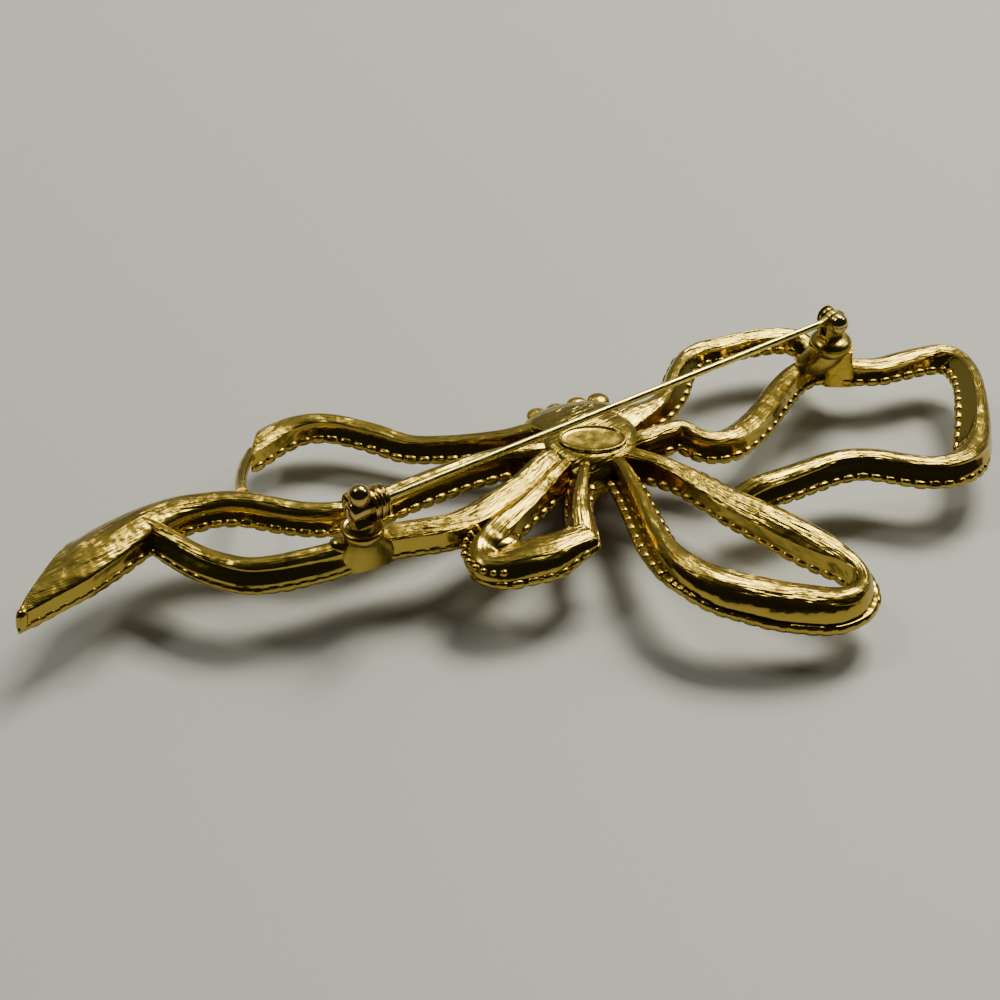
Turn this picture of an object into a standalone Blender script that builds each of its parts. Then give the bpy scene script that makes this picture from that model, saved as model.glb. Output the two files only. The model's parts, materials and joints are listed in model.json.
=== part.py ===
"""A cast bow brooch lying face down: the bow with its joint and catch, a pin stem, a rivet, a catch roller."""
import math

import bmesh
import bpy
import numpy as np
from mathutils import Matrix, Vector

for existing in list(bpy.data.objects):
    bpy.data.objects.remove(existing)

# Overall sizes, in metres. The brooch lies on its knot, back upwards, loops towards +X.
BOW_LENGTH = 0.105
BOW_WIDTH = 0.055
BACK_HEIGHT = 0.0086
RIBBON_WIDTH = 0.0040
RIBBON_DEPTH = 0.0028
RAIL_BULGE = 0.0001
RAIL_WIDTH = 0.00045

# The hub: a domed knot under the crossing of the ribbons, with a bare oval plaque on its back.
HUB_RADIUS = 0.0053
BUMP_RADIUS = 0.00122
BUMP_RISE = 0.62
PLAQUE_LENGTH = 0.0074
PLAQUE_WIDTH = 0.0046
PLAQUE_RISE = 0.00020
PLAQUE_RIM_WIDTH = 0.00030
PLAQUE_RIM_RISE = 0.00018
STRUT_RADIUS = 0.00056

# The findings, all set out from the line of the closed pin stem.
PIN_HEIGHT = 0.01345
PIN_RADIUS = 0.00040
EYE_RADIUS = 0.0011
EYE_THICKNESS = 0.0007
RIVET_RADIUS = 0.00045
RIVET_HEAD_RADIUS = 0.00108
RIVET_HEAD_RISE = 0.00090
FAR_HEAD_RISE = 0.00045
EAR_THICKNESS = 0.00060
EAR_RADIUS = 0.00112
FIT_GAP = 0.00010
JOINT_DISC_RADIUS = 0.0025
JOINT_POST_FOOT = 0.0040
JOINT_POST_WIDTH = 0.0032
JOINT_POST_DEPTH = 0.0034
JOINT_DISC_TOP = 0.0100
CATCH_DISC_RADIUS = 0.00225
CATCH_DISC_TOP = 0.0100
CATCH_PAD_LENGTH = 0.0049
CRADLE_RADIUS = 0.0020
CRADLE_LENGTH = 0.0019
ROLLER_CORE_RADIUS = 0.00112
ROLLER_BORE_RADIUS = 0.00058
ROLLER_RIDGE_RADIUS = 0.00185
ROLLER_GROOVE_RADIUS = 0.00152
ROLLER_SLEEVE_LENGTH = 0.0019
LEVER_BALL_RADIUS = 0.00122
SOLDER_RADIUS = 0.00122

# Where the findings stand, as shares of the bow's length and width from its middle.
PIVOT_ALONG = 0.3242
PIVOT_ACROSS = 0.3375
CATCH_ALONG = -0.1655
CATCH_ACROSS = -0.2640
HUB_ALONG = 0.0568
HUB_ACROSS = 0.0692
PLAQUE_ALONG = 0.0589
PLAQUE_ACROSS = 0.0425
FOOT_ALONG = 0.0450
FOOT_ACROSS = 0.0180

# Each row is a station on the crown of a ribbon's back:
# along and across as shares of the bow's length and width, height of BACK_HEIGHT,
# back and front widths of RIBBON_WIDTH, depth of RIBBON_DEPTH,
# roll in degrees to the right of the way it runs, lean of the front as a share of RIBBON_WIDTH,
# and shear, the cut's advance for each unit across.
UPPER_TAIL = (
    (0.044, 0.070, 0.93, 0.70, 0.95, 1.00, 0, 0.00, 0.00),
    (0.005, 0.125, 0.87, 0.65, 0.95, 0.96, 0, 0.00, 0.00),
    (-0.032, 0.117, 0.80, 0.55, 0.95, 0.93, 5, 0.00, 0.00),
    (-0.067, 0.118, 0.73, 0.50, 0.95, 0.93, 12, 0.00, 0.00),
    (-0.102, 0.119, 0.69, 0.50, 0.95, 0.93, 15, 0.00, 0.00),
    (-0.134, 0.127, 0.66, 0.53, 0.95, 0.93, 12, 0.00, 0.00),
    (-0.161, 0.147, 0.69, 0.57, 0.95, 0.93, 8, 0.00, 0.00),
    (-0.189, 0.166, 0.71, 0.57, 0.95, 0.93, 5, 0.00, 0.00),
    (-0.216, 0.177, 0.74, 0.57, 0.95, 0.93, 3, 0.00, 0.00),
    (-0.243, 0.175, 0.76, 0.62, 0.95, 0.93, 0, 0.00, 0.00),
    (-0.269, 0.157, 0.74, 0.80, 1.00, 0.93, 0, 0.00, -0.40),
    (-0.300, 0.106, 0.72, 0.98, 1.10, 0.93, 0, 0.00, -1.05),
)
LONG_TAIL = (
    (0.041, 0.065, 0.95, 0.75, 1.05, 1.00, 0, 0.00, 0.00),
    (0.004, 0.045, 0.94, 0.70, 1.05, 1.00, 0, 0.00, 0.00),
    (-0.038, 0.026, 0.94, 0.65, 1.05, 1.00, 0, 0.00, 0.00),
    (-0.069, 0.003, 0.93, 0.65, 1.05, 1.00, 0, 0.00, 0.00),
    (-0.099, -0.029, 0.93, 0.65, 1.05, 1.00, 0, 0.00, 0.00),
    (-0.140, -0.078, 0.93, 0.65, 1.05, 1.00, 0, 0.00, 0.00),
    (-0.169, -0.117, 0.94, 0.65, 1.05, 1.00, 0, 0.00, 0.00),
    (-0.203, -0.147, 0.97, 0.68, 1.05, 1.00, 0, 0.00, 0.00),
    (-0.235, -0.151, 0.99, 0.70, 1.05, 1.00, 0, 0.00, 0.00),
    (-0.268, -0.143, 1.03, 0.72, 1.05, 1.00, 0, 0.00, 0.00),
    (-0.298, -0.136, 1.07, 0.75, 1.07, 1.00, 0, 0.00, 0.00),
    (-0.326, -0.142, 1.09, 0.80, 1.12, 1.00, 0, 0.00, 0.00),
    (-0.363, -0.169, 1.12, 1.05, 1.30, 1.04, 0, 0.00, 0.00),
    (-0.399, -0.224, 1.14, 1.38, 1.60, 1.07, 0, 0.00, -0.25),
    (-0.438, -0.305, 1.14, 1.66, 1.78, 1.06, 0, 0.00, -0.70),
    (-0.456, -0.337, 1.13, 1.66, 1.78, 1.02, 0, 0.00, -1.15),
    (-0.474, -0.368, 1.12, 1.66, 1.76, 0.96, 0, 0.00, -1.66),
)
LOWER_TAIL = (
    (0.046, 0.047, 0.97, 0.75, 1.05, 1.04, 0, 0.00, 0.00),
    (0.012, 0.009, 0.98, 0.80, 1.05, 1.04, 0, 0.00, 0.00),
    (-0.019, -0.076, 1.00, 0.88, 1.05, 1.04, 0, 0.00, 0.00),
    (-0.042, -0.124, 1.01, 0.93, 1.05, 1.00, 0, 0.00, 0.00),
    (-0.063, -0.168, 1.02, 0.95, 1.05, 1.00, 0, 0.00, 0.00),
    (-0.087, -0.199, 1.03, 0.95, 1.05, 1.00, 0, 0.00, 0.00),
    (-0.117, -0.217, 1.05, 0.93, 1.05, 1.00, 0, 0.00, 0.00),
    (-0.146, -0.230, 1.05, 0.90, 1.05, 1.00, 0, 0.00, 0.00),
    (-0.175, -0.250, 1.05, 0.80, 1.05, 1.04, 0, 0.00, 0.00),
    (-0.203, -0.280, 1.05, 0.70, 1.05, 1.07, 0, 0.00, 0.00),
    (-0.231, -0.300, 1.06, 0.65, 1.05, 1.11, 3, 0.00, 0.00),
    (-0.255, -0.314, 1.06, 0.62, 1.05, 1.11, 5, 0.00, 0.00),
    (-0.279, -0.320, 1.06, 0.60, 1.05, 1.11, 8, 0.00, 0.00),
    (-0.301, -0.308, 1.05, 0.57, 1.05, 1.07, 12, 0.00, 0.00),
    (-0.324, -0.290, 1.06, 0.53, 1.00, 1.04, 14, 0.00, 0.00),
    (-0.345, -0.265, 1.08, 0.50, 0.95, 1.04, 12, 0.00, 0.00),
    (-0.364, -0.242, 1.11, 0.47, 0.88, 1.04, 8, 0.00, 0.00),
    (-0.378, -0.227, 1.13, 0.45, 0.80, 1.00, 4, 0.00, 0.00),
    (-0.391, -0.217, 1.14, 0.42, 0.70, 0.93, 0, 0.00, 0.00),
)
SMALL_LOOP = (
    (0.040, 0.024, 0.97, 0.40, 0.75, 0.96, 0, 0.00, 0.00),
    (0.016, -0.052, 0.99, 0.47, 0.80, 0.96, 0, 0.00, 0.00),
    (0.001, -0.098, 1.00, 0.57, 0.82, 0.96, 0, 0.00, 0.00),
    (-0.014, -0.139, 1.01, 0.65, 0.85, 0.96, 0, 0.00, 0.00),
    (-0.028, -0.174, 1.01, 0.72, 0.88, 0.96, -3, -0.03, 0.00),
    (-0.040, -0.202, 1.00, 0.78, 0.90, 0.96, -8, -0.07, 0.00),
    (-0.048, -0.226, 0.98, 0.82, 0.80, 0.93, -14, -0.12, 0.00),
    (-0.055, -0.251, 0.95, 0.85, 0.75, 0.93, -18, -0.15, 0.00),
    (-0.056, -0.274, 0.94, 0.88, 0.70, 0.93, -18, -0.15, 0.00),
    (-0.049, -0.294, 0.94, 0.90, 0.85, 0.96, -14, -0.09, 0.00),
    (-0.036, -0.297, 0.95, 0.95, 1.10, 0.96, -10, 0.00, 0.00),
    (-0.018, -0.290, 0.98, 1.05, 1.20, 0.96, -5, 0.00, 0.00),
    (-0.002, -0.284, 1.00, 1.12, 1.23, 0.93, 0, 0.00, 0.00),
    (0.014, -0.274, 1.01, 1.07, 1.18, 0.93, 0, 0.00, 0.00),
    (0.031, -0.252, 1.00, 0.90, 1.07, 0.93, 0, 0.00, 0.00),
    (0.051, -0.224, 0.97, 0.80, 1.00, 0.93, 0, 0.00, 0.00),
)
SMALL_LOOP_RETURN = (
    (0.054, 0.031, 0.97, 0.38, 0.70, 0.96, -10, 0.00, 0.00),
    (0.052, -0.037, 0.99, 0.38, 0.70, 0.96, -10, 0.00, 0.00),
    (0.049, -0.086, 0.99, 0.47, 0.72, 0.96, -12, 0.00, 0.00),
    (0.047, -0.132, 0.98, 0.55, 0.75, 0.96, -12, 0.00, 0.00),
    (0.048, -0.178, 0.97, 0.68, 0.80, 0.93, -8, 0.00, 0.00),
    (0.048, -0.213, 0.95, 0.70, 0.80, 0.89, 0, 0.00, 0.00),
)
LOWER_LOOP = (
    (0.067, 0.032, 0.98, 0.60, 0.85, 1.00, 0, 0.00, 0.00),
    (0.083, -0.011, 1.00, 0.47, 0.85, 1.00, 0, 0.00, 0.00),
    (0.094, -0.068, 1.02, 0.45, 0.88, 1.00, 0, 0.00, 0.00),
    (0.102, -0.130, 1.05, 0.47, 0.90, 1.00, 0, 0.00, 0.00),
    (0.110, -0.197, 1.07, 0.50, 0.95, 1.00, 0, 0.00, 0.00),
    (0.120, -0.259, 1.08, 0.55, 1.00, 1.00, 0, 0.00, 0.00),
    (0.134, -0.312, 1.09, 0.70, 1.02, 1.00, 0, 0.00, 0.00),
    (0.154, -0.352, 1.09, 0.82, 1.07, 1.00, 0, 0.00, 0.00),
    (0.176, -0.377, 1.08, 0.93, 1.12, 1.12, 0, 0.00, 0.00),
    (0.201, -0.389, 1.06, 0.95, 1.15, 1.20, 0, 0.00, 0.00),
    (0.230, -0.398, 1.02, 0.95, 1.15, 1.27, 0, 0.02, 0.00),
    (0.259, -0.398, 0.97, 0.90, 1.12, 1.29, 0, 0.03, 0.00),
    (0.284, -0.393, 0.92, 0.82, 1.03, 1.28, 0, 0.03, 0.00),
    (0.305, -0.375, 0.90, 0.60, 0.86, 1.22, 0, 0.05, 0.00),
    (0.316, -0.341, 0.88, 0.45, 0.74, 1.16, 0, 0.06, 0.00),
    (0.315, -0.306, 0.88, 0.45, 0.74, 1.14, 0, 0.05, 0.00),
    (0.303, -0.271, 0.90, 0.62, 0.86, 1.16, -5, -0.03, 0.00),
    (0.284, -0.239, 0.92, 0.90, 1.00, 1.16, -12, -0.10, 0.00),
    (0.260, -0.205, 0.94, 1.00, 1.05, 1.12, -14, -0.12, 0.00),
    (0.232, -0.169, 0.97, 1.00, 1.05, 1.04, -14, -0.09, 0.00),
    (0.202, -0.129, 0.98, 0.90, 1.02, 0.95, -12, -0.05, 0.00),
    (0.176, -0.086, 0.99, 0.75, 1.00, 0.88, -8, 0.00, 0.00),
    (0.151, -0.042, 1.00, 0.60, 0.95, 0.88, -5, 0.00, 0.00),
    (0.128, -0.008, 1.00, 0.55, 0.95, 1.00, 0, 0.00, 0.00),
    (0.097, 0.020, 0.99, 0.60, 0.95, 1.00, 0, 0.00, 0.00),
)
RIGHT_LOOP = (
    (0.079, 0.048, 0.98, 0.65, 1.00, 1.00, 0, 0.00, 0.00),
    (0.109, 0.063, 1.00, 0.60, 1.00, 0.96, 0, 0.00, 0.00),
    (0.133, 0.089, 1.00, 0.55, 0.95, 0.96, 0, 0.00, 0.00),
    (0.155, 0.107, 0.98, 0.50, 0.95, 0.96, 0, 0.00, 0.00),
    (0.173, 0.087, 0.94, 0.50, 0.95, 0.96, 0, 0.00, 0.00),
    (0.190, 0.079, 0.92, 0.55, 0.95, 0.96, 0, 0.00, 0.00),
    (0.206, 0.091, 0.91, 0.62, 0.95, 0.93, 0, 0.00, 0.00),
    (0.224, 0.126, 0.88, 0.68, 0.93, 0.89, 0, 0.00, 0.00),
    (0.243, 0.177, 0.86, 0.68, 0.90, 0.86, 0, 0.00, 0.00),
    (0.270, 0.271, 0.83, 0.65, 0.90, 0.82, 0, 0.00, 0.00),
    (0.290, 0.327, 0.81, 0.62, 0.90, 0.82, 0, 0.00, 0.00),
    (0.311, 0.358, 0.80, 0.60, 0.90, 0.82, 0, 0.00, 0.00),
    (0.340, 0.365, 0.79, 0.60, 0.93, 0.82, 0, 0.00, 0.00),
    (0.362, 0.357, 0.79, 0.62, 0.93, 0.79, 0, 0.00, 0.00),
    (0.386, 0.359, 0.79, 0.62, 0.90, 0.79, 0, 0.00, 0.00),
    (0.413, 0.379, 0.80, 0.62, 0.90, 0.82, 0, 0.00, 0.00),
    (0.440, 0.398, 0.81, 0.57, 0.90, 0.89, 0, 0.00, 0.00),
    (0.462, 0.405, 0.83, 0.55, 0.93, 0.96, -5, 0.00, 0.00),
    (0.478, 0.386, 0.84, 0.50, 0.95, 1.00, -12, 0.00, 0.00),
    (0.488, 0.339, 0.85, 0.47, 0.95, 1.00, -22, 0.00, 0.00),
    (0.491, 0.280, 0.85, 0.47, 0.97, 1.00, -30, 0.00, 0.00),
    (0.488, 0.205, 0.86, 0.47, 1.00, 1.00, -30, 0.05, 0.00),
    (0.481, 0.135, 0.87, 0.53, 1.00, 1.00, -20, 0.11, 0.00),
    (0.469, 0.076, 0.88, 0.60, 1.00, 1.00, -5, 0.13, 0.00),
    (0.451, 0.035, 0.90, 0.62, 1.00, 1.02, 10, 0.08, 0.00),
    (0.430, 0.012, 0.91, 0.60, 1.00, 1.04, 16, 0.03, 0.00),
    (0.409, 0.006, 0.91, 0.60, 1.00, 1.04, 18, 0.00, 0.00),
    (0.384, 0.015, 0.91, 0.60, 1.00, 1.04, 18, 0.00, 0.00),
    (0.359, 0.028, 0.91, 0.60, 1.00, 1.04, 18, 0.00, 0.00),
    (0.333, 0.031, 0.91, 0.60, 1.00, 1.04, 18, 0.00, 0.00),
    (0.306, 0.018, 0.91, 0.60, 1.00, 1.04, 16, 0.00, 0.00),
    (0.279, -0.011, 0.92, 0.60, 1.00, 1.00, 12, 0.00, 0.00),
    (0.252, -0.041, 0.93, 0.60, 1.00, 1.00, 8, 0.00, 0.00),
    (0.226, -0.065, 0.94, 0.60, 1.00, 1.00, 5, 0.00, 0.00),
    (0.207, -0.084, 0.94, 0.60, 1.00, 1.00, 0, 0.00, 0.00),
)
UPPER_LOOP = (
    (0.077, 0.111, 0.95, 1.15, 1.35, 0.93, 0, 0.00, 0.00),
    (0.105, 0.163, 0.93, 1.00, 1.20, 0.93, 0, 0.00, 0.00),
    (0.128, 0.204, 0.90, 0.70, 1.02, 0.93, -12, 0.00, 0.00),
    (0.142, 0.258, 0.87, 0.53, 0.95, 0.93, -22, 0.00, 0.00),
    (0.152, 0.317, 0.86, 0.53, 0.93, 0.89, -22, 0.00, 0.00),
    (0.166, 0.371, 0.86, 0.55, 0.90, 0.86, -12, 0.00, 0.00),
    (0.185, 0.405, 0.86, 0.62, 0.90, 0.82, 0, 0.00, 0.00),
    (0.207, 0.421, 0.86, 0.68, 0.93, 0.82, 0, 0.00, 0.00),
    (0.232, 0.440, 0.86, 0.68, 0.93, 0.82, 0, 0.00, 0.00),
    (0.258, 0.455, 0.86, 0.65, 0.93, 0.82, 0, 0.00, 0.00),
    (0.283, 0.463, 0.85, 0.60, 0.93, 0.82, 0, 0.00, 0.00),
    (0.304, 0.457, 0.83, 0.57, 0.93, 0.82, 0, 0.00, 0.00),
    (0.318, 0.421, 0.80, 0.55, 0.93, 0.82, 0, 0.00, 0.00),
    (0.327, 0.383, 0.79, 0.55, 0.93, 0.82, 0, 0.00, 0.00),
)

RIBBONS = (
    UPPER_TAIL,
    LONG_TAIL,
    LOWER_TAIL,
    SMALL_LOOP,
    SMALL_LOOP_RETURN,
    LOWER_LOOP,
    RIGHT_LOOP,
    UPPER_LOOP,
)

# The knot from its foot to the hub's back, as shares: height of BACK_HEIGHT,
# half length and half width of HUB_RADIUS, how far it has moved from the foot to the hub,
# and how square its corners are (2 is an ellipse).
KNOT_RINGS = (
    (0.00, 0.300, 0.80, 0.00, 3.6),
    (0.05, 0.340, 0.86, 0.00, 3.2),
    (0.20, 0.380, 0.92, 0.05, 2.8),
    (0.40, 0.500, 0.98, 0.25, 2.4),
    (0.62, 0.780, 1.10, 0.60, 2.1),
    (0.80, 0.980, 1.14, 0.88, 2.0),
    (0.90, 1.020, 1.02, 1.00, 2.0),
    (0.96, 0.960, 0.94, 1.00, 2.0),
    (1.00, 0.840, 0.82, 1.00, 2.0),
)

# The swelling behind the hub that carries the four beads, as shares: height of BACK_HEIGHT,
# then offset from the hub along and across, half length and half width, all of HUB_RADIUS.
SWELLING_RINGS = (
    (0.490, -0.37, 0.79, 0.87, 0.45),
    (0.600, -0.35, 0.91, 1.02, 0.57),
    (0.710, -0.33, 0.94, 1.06, 0.59),
    (0.810, -0.29, 0.85, 1.02, 0.56),
    (0.910, -0.22, 0.66, 0.94, 0.55),
    (0.975, -0.12, 0.42, 0.87, 0.55),
)
SWELLING_TURN = 16.5

# The four beads on the knot's far rim: along, across and height, shares as for the ribbons.
KNOT_BEADS = (
    (0.0032, 0.2010, 0.69),
    (0.0234, 0.2120, 0.71),
    (0.0465, 0.2280, 0.74),
    (0.0690, 0.2380, 0.76),
)

# The catch roller's sleeve: distance along the pin from the cradle, then the radius of each step.
SLEEVE_STEPS = (
    (0.00, ROLLER_RIDGE_RADIUS),
    (0.22, ROLLER_RIDGE_RADIUS),
    (0.27, ROLLER_GROOVE_RADIUS),
    (0.37, ROLLER_GROOVE_RADIUS),
    (0.42, ROLLER_RIDGE_RADIUS),
    (0.64, ROLLER_RIDGE_RADIUS),
    (0.69, ROLLER_GROOVE_RADIUS),
    (0.79, ROLLER_GROOVE_RADIUS),
    (0.84, ROLLER_RIDGE_RADIUS),
    (1.00, ROLLER_RIDGE_RADIUS * 0.93),
)

PLAN = Vector((BOW_LENGTH, BOW_WIDTH, BACK_HEIGHT))
PIVOT = Vector((PIVOT_ALONG * BOW_LENGTH, PIVOT_ACROSS * BOW_WIDTH, PIN_HEIGHT))
CATCH = Vector((CATCH_ALONG * BOW_LENGTH, CATCH_ACROSS * BOW_WIDTH, PIN_HEIGHT))
REACH = (CATCH - PIVOT).length
TOWARDS_CATCH = (CATCH - PIVOT).normalized()
UPWARDS = Vector((0, 0, 1))
NEARWARDS = TOWARDS_CATCH.cross(UPWARDS) * -1


def new_collection(name):
    collection = bpy.data.collections.new(name)
    bpy.context.scene.collection.children.link(collection)
    return collection


PARTS = new_collection("bow_brooch")
CUTTERS = new_collection("cutters")
CUTTERS.hide_render = True


def material(name, colour, roughness):
    made = bpy.data.materials.new(name)
    made.use_nodes = True
    shader = made.node_tree.nodes["Principled BSDF"]
    shader.inputs["Base Color"].default_value = (*colour, 1)
    shader.inputs["Metallic"].default_value = 1
    shader.inputs["Roughness"].default_value = roughness
    return made


def mesh_object(name, bm, collection):
    mesh = bpy.data.meshes.new(name)
    bm.to_mesh(mesh)
    bm.free()
    made = bpy.data.objects.new(name, mesh)
    collection.objects.link(made)
    return made


def solved(target, modifiers):
    """Give the target the mesh that its modifiers make, and take them off."""
    bpy.context.view_layer.update()
    evaluated = target.evaluated_get(bpy.context.evaluated_depsgraph_get())
    mesh = bpy.data.meshes.new_from_object(evaluated)
    for modifier in modifiers:
        target.modifiers.remove(modifier)
    bm = bmesh.new()
    bm.from_mesh(mesh)
    bmesh.ops.remove_doubles(bm, verts=bm.verts, dist=0.000004)
    bmesh.ops.dissolve_degenerate(bm, edges=bm.edges, dist=0.000004)
    bmesh.ops.triangulate(bm, faces=[face for face in bm.faces if len(face.verts) > 4])
    bm.to_mesh(mesh)
    bm.free()
    target.data = mesh
    return target


def loft(name, rings, collection):
    """A closed body through rings of equal count, capped at both ends."""
    bm = bmesh.new()
    rows = [[bm.verts.new(point) for point in ring] for ring in rings]
    count = len(rows[0])
    for lower, upper in zip(rows, rows[1:]):
        for i in range(count):
            j = (i + 1) % count
            bm.faces.new((lower[i], lower[j], upper[j], upper[i]))
    bm.faces.new(rows[0][::-1])
    bm.faces.new(rows[-1])
    bmesh.ops.recalc_face_normals(bm, faces=bm.faces)
    return mesh_object(name, bm, collection)


def placed(centre, along, up):
    """The matrix that takes Z to the direction along, X as near as it goes to up, and the origin to centre."""
    z = along.normalized()
    x = (up - z * up.dot(z)).normalized()
    y = z.cross(x)
    return Matrix.Translation(centre) @ Matrix((x, y, z)).transposed().to_4x4()


def turned(name, centre, axis, profile, collection, segments=24):
    """A body turned round an axis: profile rows are distance along the axis and radius."""
    low = profile[0][0]
    high = profile[-1][0]
    outline = [(high, 0)] + [row for row in reversed(profile)] + [(low, 0)]
    bm = bmesh.new()
    verts = [bm.verts.new((radius, 0, distance)) for distance, radius in outline]
    for above, below in zip(verts, verts[1:]):
        bm.edges.new((above, below))
    made = mesh_object(name, bm, collection)
    screw = made.modifiers.new("turn", "SCREW")
    screw.axis = "Z"
    screw.steps = segments
    screw.render_steps = segments
    screw.use_merge_vertices = True
    screw.merge_threshold = 0.00001
    solved(made, [screw])
    up = Vector((1, 0, 0)) if abs(axis.normalized().z) > 0.9 else UPWARDS
    made.data.transform(placed(centre, axis, up))
    return made


def drawn_mesh(name, curve):
    """A closed mesh from a curve with a bevel or an extrusion, its caps welded on."""
    guide = bpy.data.objects.new(name + "_curve", curve)
    CUTTERS.objects.link(guide)
    bpy.context.view_layer.update()
    mesh = bpy.data.meshes.new_from_object(guide.evaluated_get(bpy.context.evaluated_depsgraph_get()))
    bpy.data.objects.remove(guide)
    bm = bmesh.new()
    bm.from_mesh(mesh)
    bmesh.ops.remove_doubles(bm, verts=bm.verts, dist=0.00001)
    return bm


def prism(name, centre, side, up, axis, outline, start, end, collection):
    """A flat outline in side and up, extruded along the axis from start to end."""
    curve = bpy.data.curves.new(name, "CURVE")
    curve.dimensions = "2D"
    curve.fill_mode = "BOTH"
    curve.extrude = (end - start) / 2
    line = curve.splines.new("POLY")
    line.points.add(len(outline) - 1)
    for point, (u, v) in zip(line.points, outline):
        point.co = (u, v, 0, 1)
    line.use_cyclic_u = True
    bm = drawn_mesh(name, curve)
    at = Matrix.Translation(centre + axis * (start + end) / 2)
    bmesh.ops.transform(bm, verts=bm.verts, matrix=at @ Matrix((side, up, axis)).transposed().to_4x4())
    bmesh.ops.recalc_face_normals(bm, faces=bm.faces)
    return mesh_object(name, bm, collection)


def block(name, centre, turn, half_length, half_width, low, high):
    """An upright box, turned about Z, between two heights."""
    bm = bmesh.new()
    bmesh.ops.create_cube(bm, size=1)
    size = Matrix.Diagonal((2 * half_length, 2 * half_width, high - low, 1))
    at = Matrix.Translation((centre.x, centre.y, (low + high) / 2))
    bmesh.ops.transform(bm, verts=bm.verts, matrix=at @ Matrix.Rotation(turn, 4, "Z") @ size)
    return mesh_object(name, bm, CUTTERS)


def ball(name, centre, radius, collection, rise=1.0, segments=16):
    bm = bmesh.new()
    at = Matrix.Translation(centre) @ Matrix.Diagonal((1, 1, rise, 1))
    bmesh.ops.create_uvsphere(
        bm, u_segments=segments, v_segments=segments // 2, radius=radius, matrix=at,
    )
    return mesh_object(name, bm, collection)


def fused(target, pieces, crossing=()):
    """One solid of the target and the pieces laid into it; the crossing ones cross themselves."""
    for piece in pieces:
        joining = target.modifiers.new("join", "BOOLEAN")
        joining.operation = "UNION"
        joining.solver = "EXACT"
        joining.use_self = piece in crossing
        joining.object = piece
        solved(target, [joining])
        bpy.data.objects.remove(piece)
    return target


def fill_pockets(target):
    """Keep the outer skin and drop the small closed pockets left between crossing ribbons."""
    bm = bmesh.new()
    bm.from_mesh(target.data)
    waiting = set(bm.verts)
    skins = []
    while waiting:
        skin = set()
        stack = [waiting.pop()]
        while stack:
            vert = stack.pop()
            skin.add(vert)
            for edge in vert.link_edges:
                other = edge.other_vert(vert)
                if other in waiting:
                    waiting.discard(other)
                    stack.append(other)
        skins.append(skin)
    skins.sort(key=len)
    for skin in skins[:-1]:
        bmesh.ops.delete(bm, geom=list(skin), context="VERTS")
    bm.to_mesh(target.data)
    bm.free()


def cut(target, cutters):
    for cutter in cutters:
        cutting = target.modifiers.new("cut", "BOOLEAN")
        cutting.operation = "DIFFERENCE"
        cutting.solver = "EXACT"
        cutting.object = cutter
        solved(target, [cutting])
        bpy.data.objects.remove(cutter)
    return target


def stations(rows):
    """Two smooth stations for every row of a ribbon's table, in metres."""
    points = []
    for along, across, height, back, front, depth, roll, lean, shear in rows:
        points.append((
            along * BOW_LENGTH,
            across * BOW_WIDTH,
            height * BACK_HEIGHT,
            back * RIBBON_WIDTH,
            front * RIBBON_WIDTH,
            depth * RIBBON_DEPTH,
            roll,
            lean * RIBBON_WIDTH,
            shear,
        ))
    points = np.array(points)
    chord = np.concatenate(([0], np.cumsum(np.linalg.norm(np.diff(points[:, :3], axis=0), axis=1))))
    slope = np.zeros_like(points)
    for i in range(len(points)):
        before = max(i - 1, 0)
        after = min(i + 1, len(points) - 1)
        slope[i] = (points[after] - points[before]) / (chord[after] - chord[before])
    line = []
    for i in range(len(points) - 1):
        span = chord[i + 1] - chord[i]
        for t in (0, 0.5):
            line.append(
                (2 * t**3 - 3 * t**2 + 1) * points[i]
                + (t**3 - 2 * t**2 + t) * span * slope[i]
                + (3 * t**2 - 2 * t**3) * points[i + 1]
                + (t**3 - t**2) * span * slope[i + 1]
            )
    line.append(points[-1])
    return np.array(line)


def section(back, front, depth, lean):
    """A ribbon's outline round from the crown of its back: across and down."""
    a = back / 2
    b = front / 2
    half = [
        (0, 0),
        (0.6 * a, 0.03 * depth),
        (a, 0.12 * depth),
        (a + 0.45 * (b - a), 0.50 * depth),
        (b - 1.2 * RAIL_BULGE, 0.72 * depth),
        (b + RAIL_BULGE, 0.84 * depth),
        (b, depth),
        (b - RAIL_WIDTH, depth),
        (0, 0.90 * depth),
    ]
    whole = half + [(-across, down) for across, down in half[-2:0:-1]]
    return [(across + lean * down / depth, down) for across, down in whole]


def ribbon(name, rows):
    line = stations(rows)
    tangents = np.gradient(line[:, :3], axis=0)
    rings = []
    for row, tangent in zip(line, tangents):
        ahead = Vector(tangent).normalized()
        level = (UPWARDS - ahead * ahead.z).normalized()
        right = ahead.cross(level)
        roll = math.radians(row[6])
        up = level * math.cos(roll) + right * math.sin(roll)
        side = right * math.cos(roll) - level * math.sin(roll)
        centre = Vector(row[:3])
        rings.append([
            centre + side * across - up * down + ahead * across * row[8]
            for across, down in section(row[3], row[4], row[5], row[7])
        ])
    return loft(name, rings, CUTTERS)


def oval(centre, half_length, half_width, height, square=2, turn=0, segments=28):
    """A level ring: an ellipse, or a squarer oval, turned by some degrees."""
    ring = []
    ahead = Vector((math.cos(math.radians(turn)), math.sin(math.radians(turn)), 0))
    beside = Vector((-ahead.y, ahead.x, 0))
    for i in range(segments):
        angle = 2 * math.pi * i / segments
        along = math.cos(angle)
        across = math.sin(angle)
        ring.append(
            Vector((centre.x, centre.y, height))
            + ahead * half_length * math.copysign(abs(along) ** (2 / square), along)
            + beside * half_width * math.copysign(abs(across) ** (2 / square), across)
        )
    return ring


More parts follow.
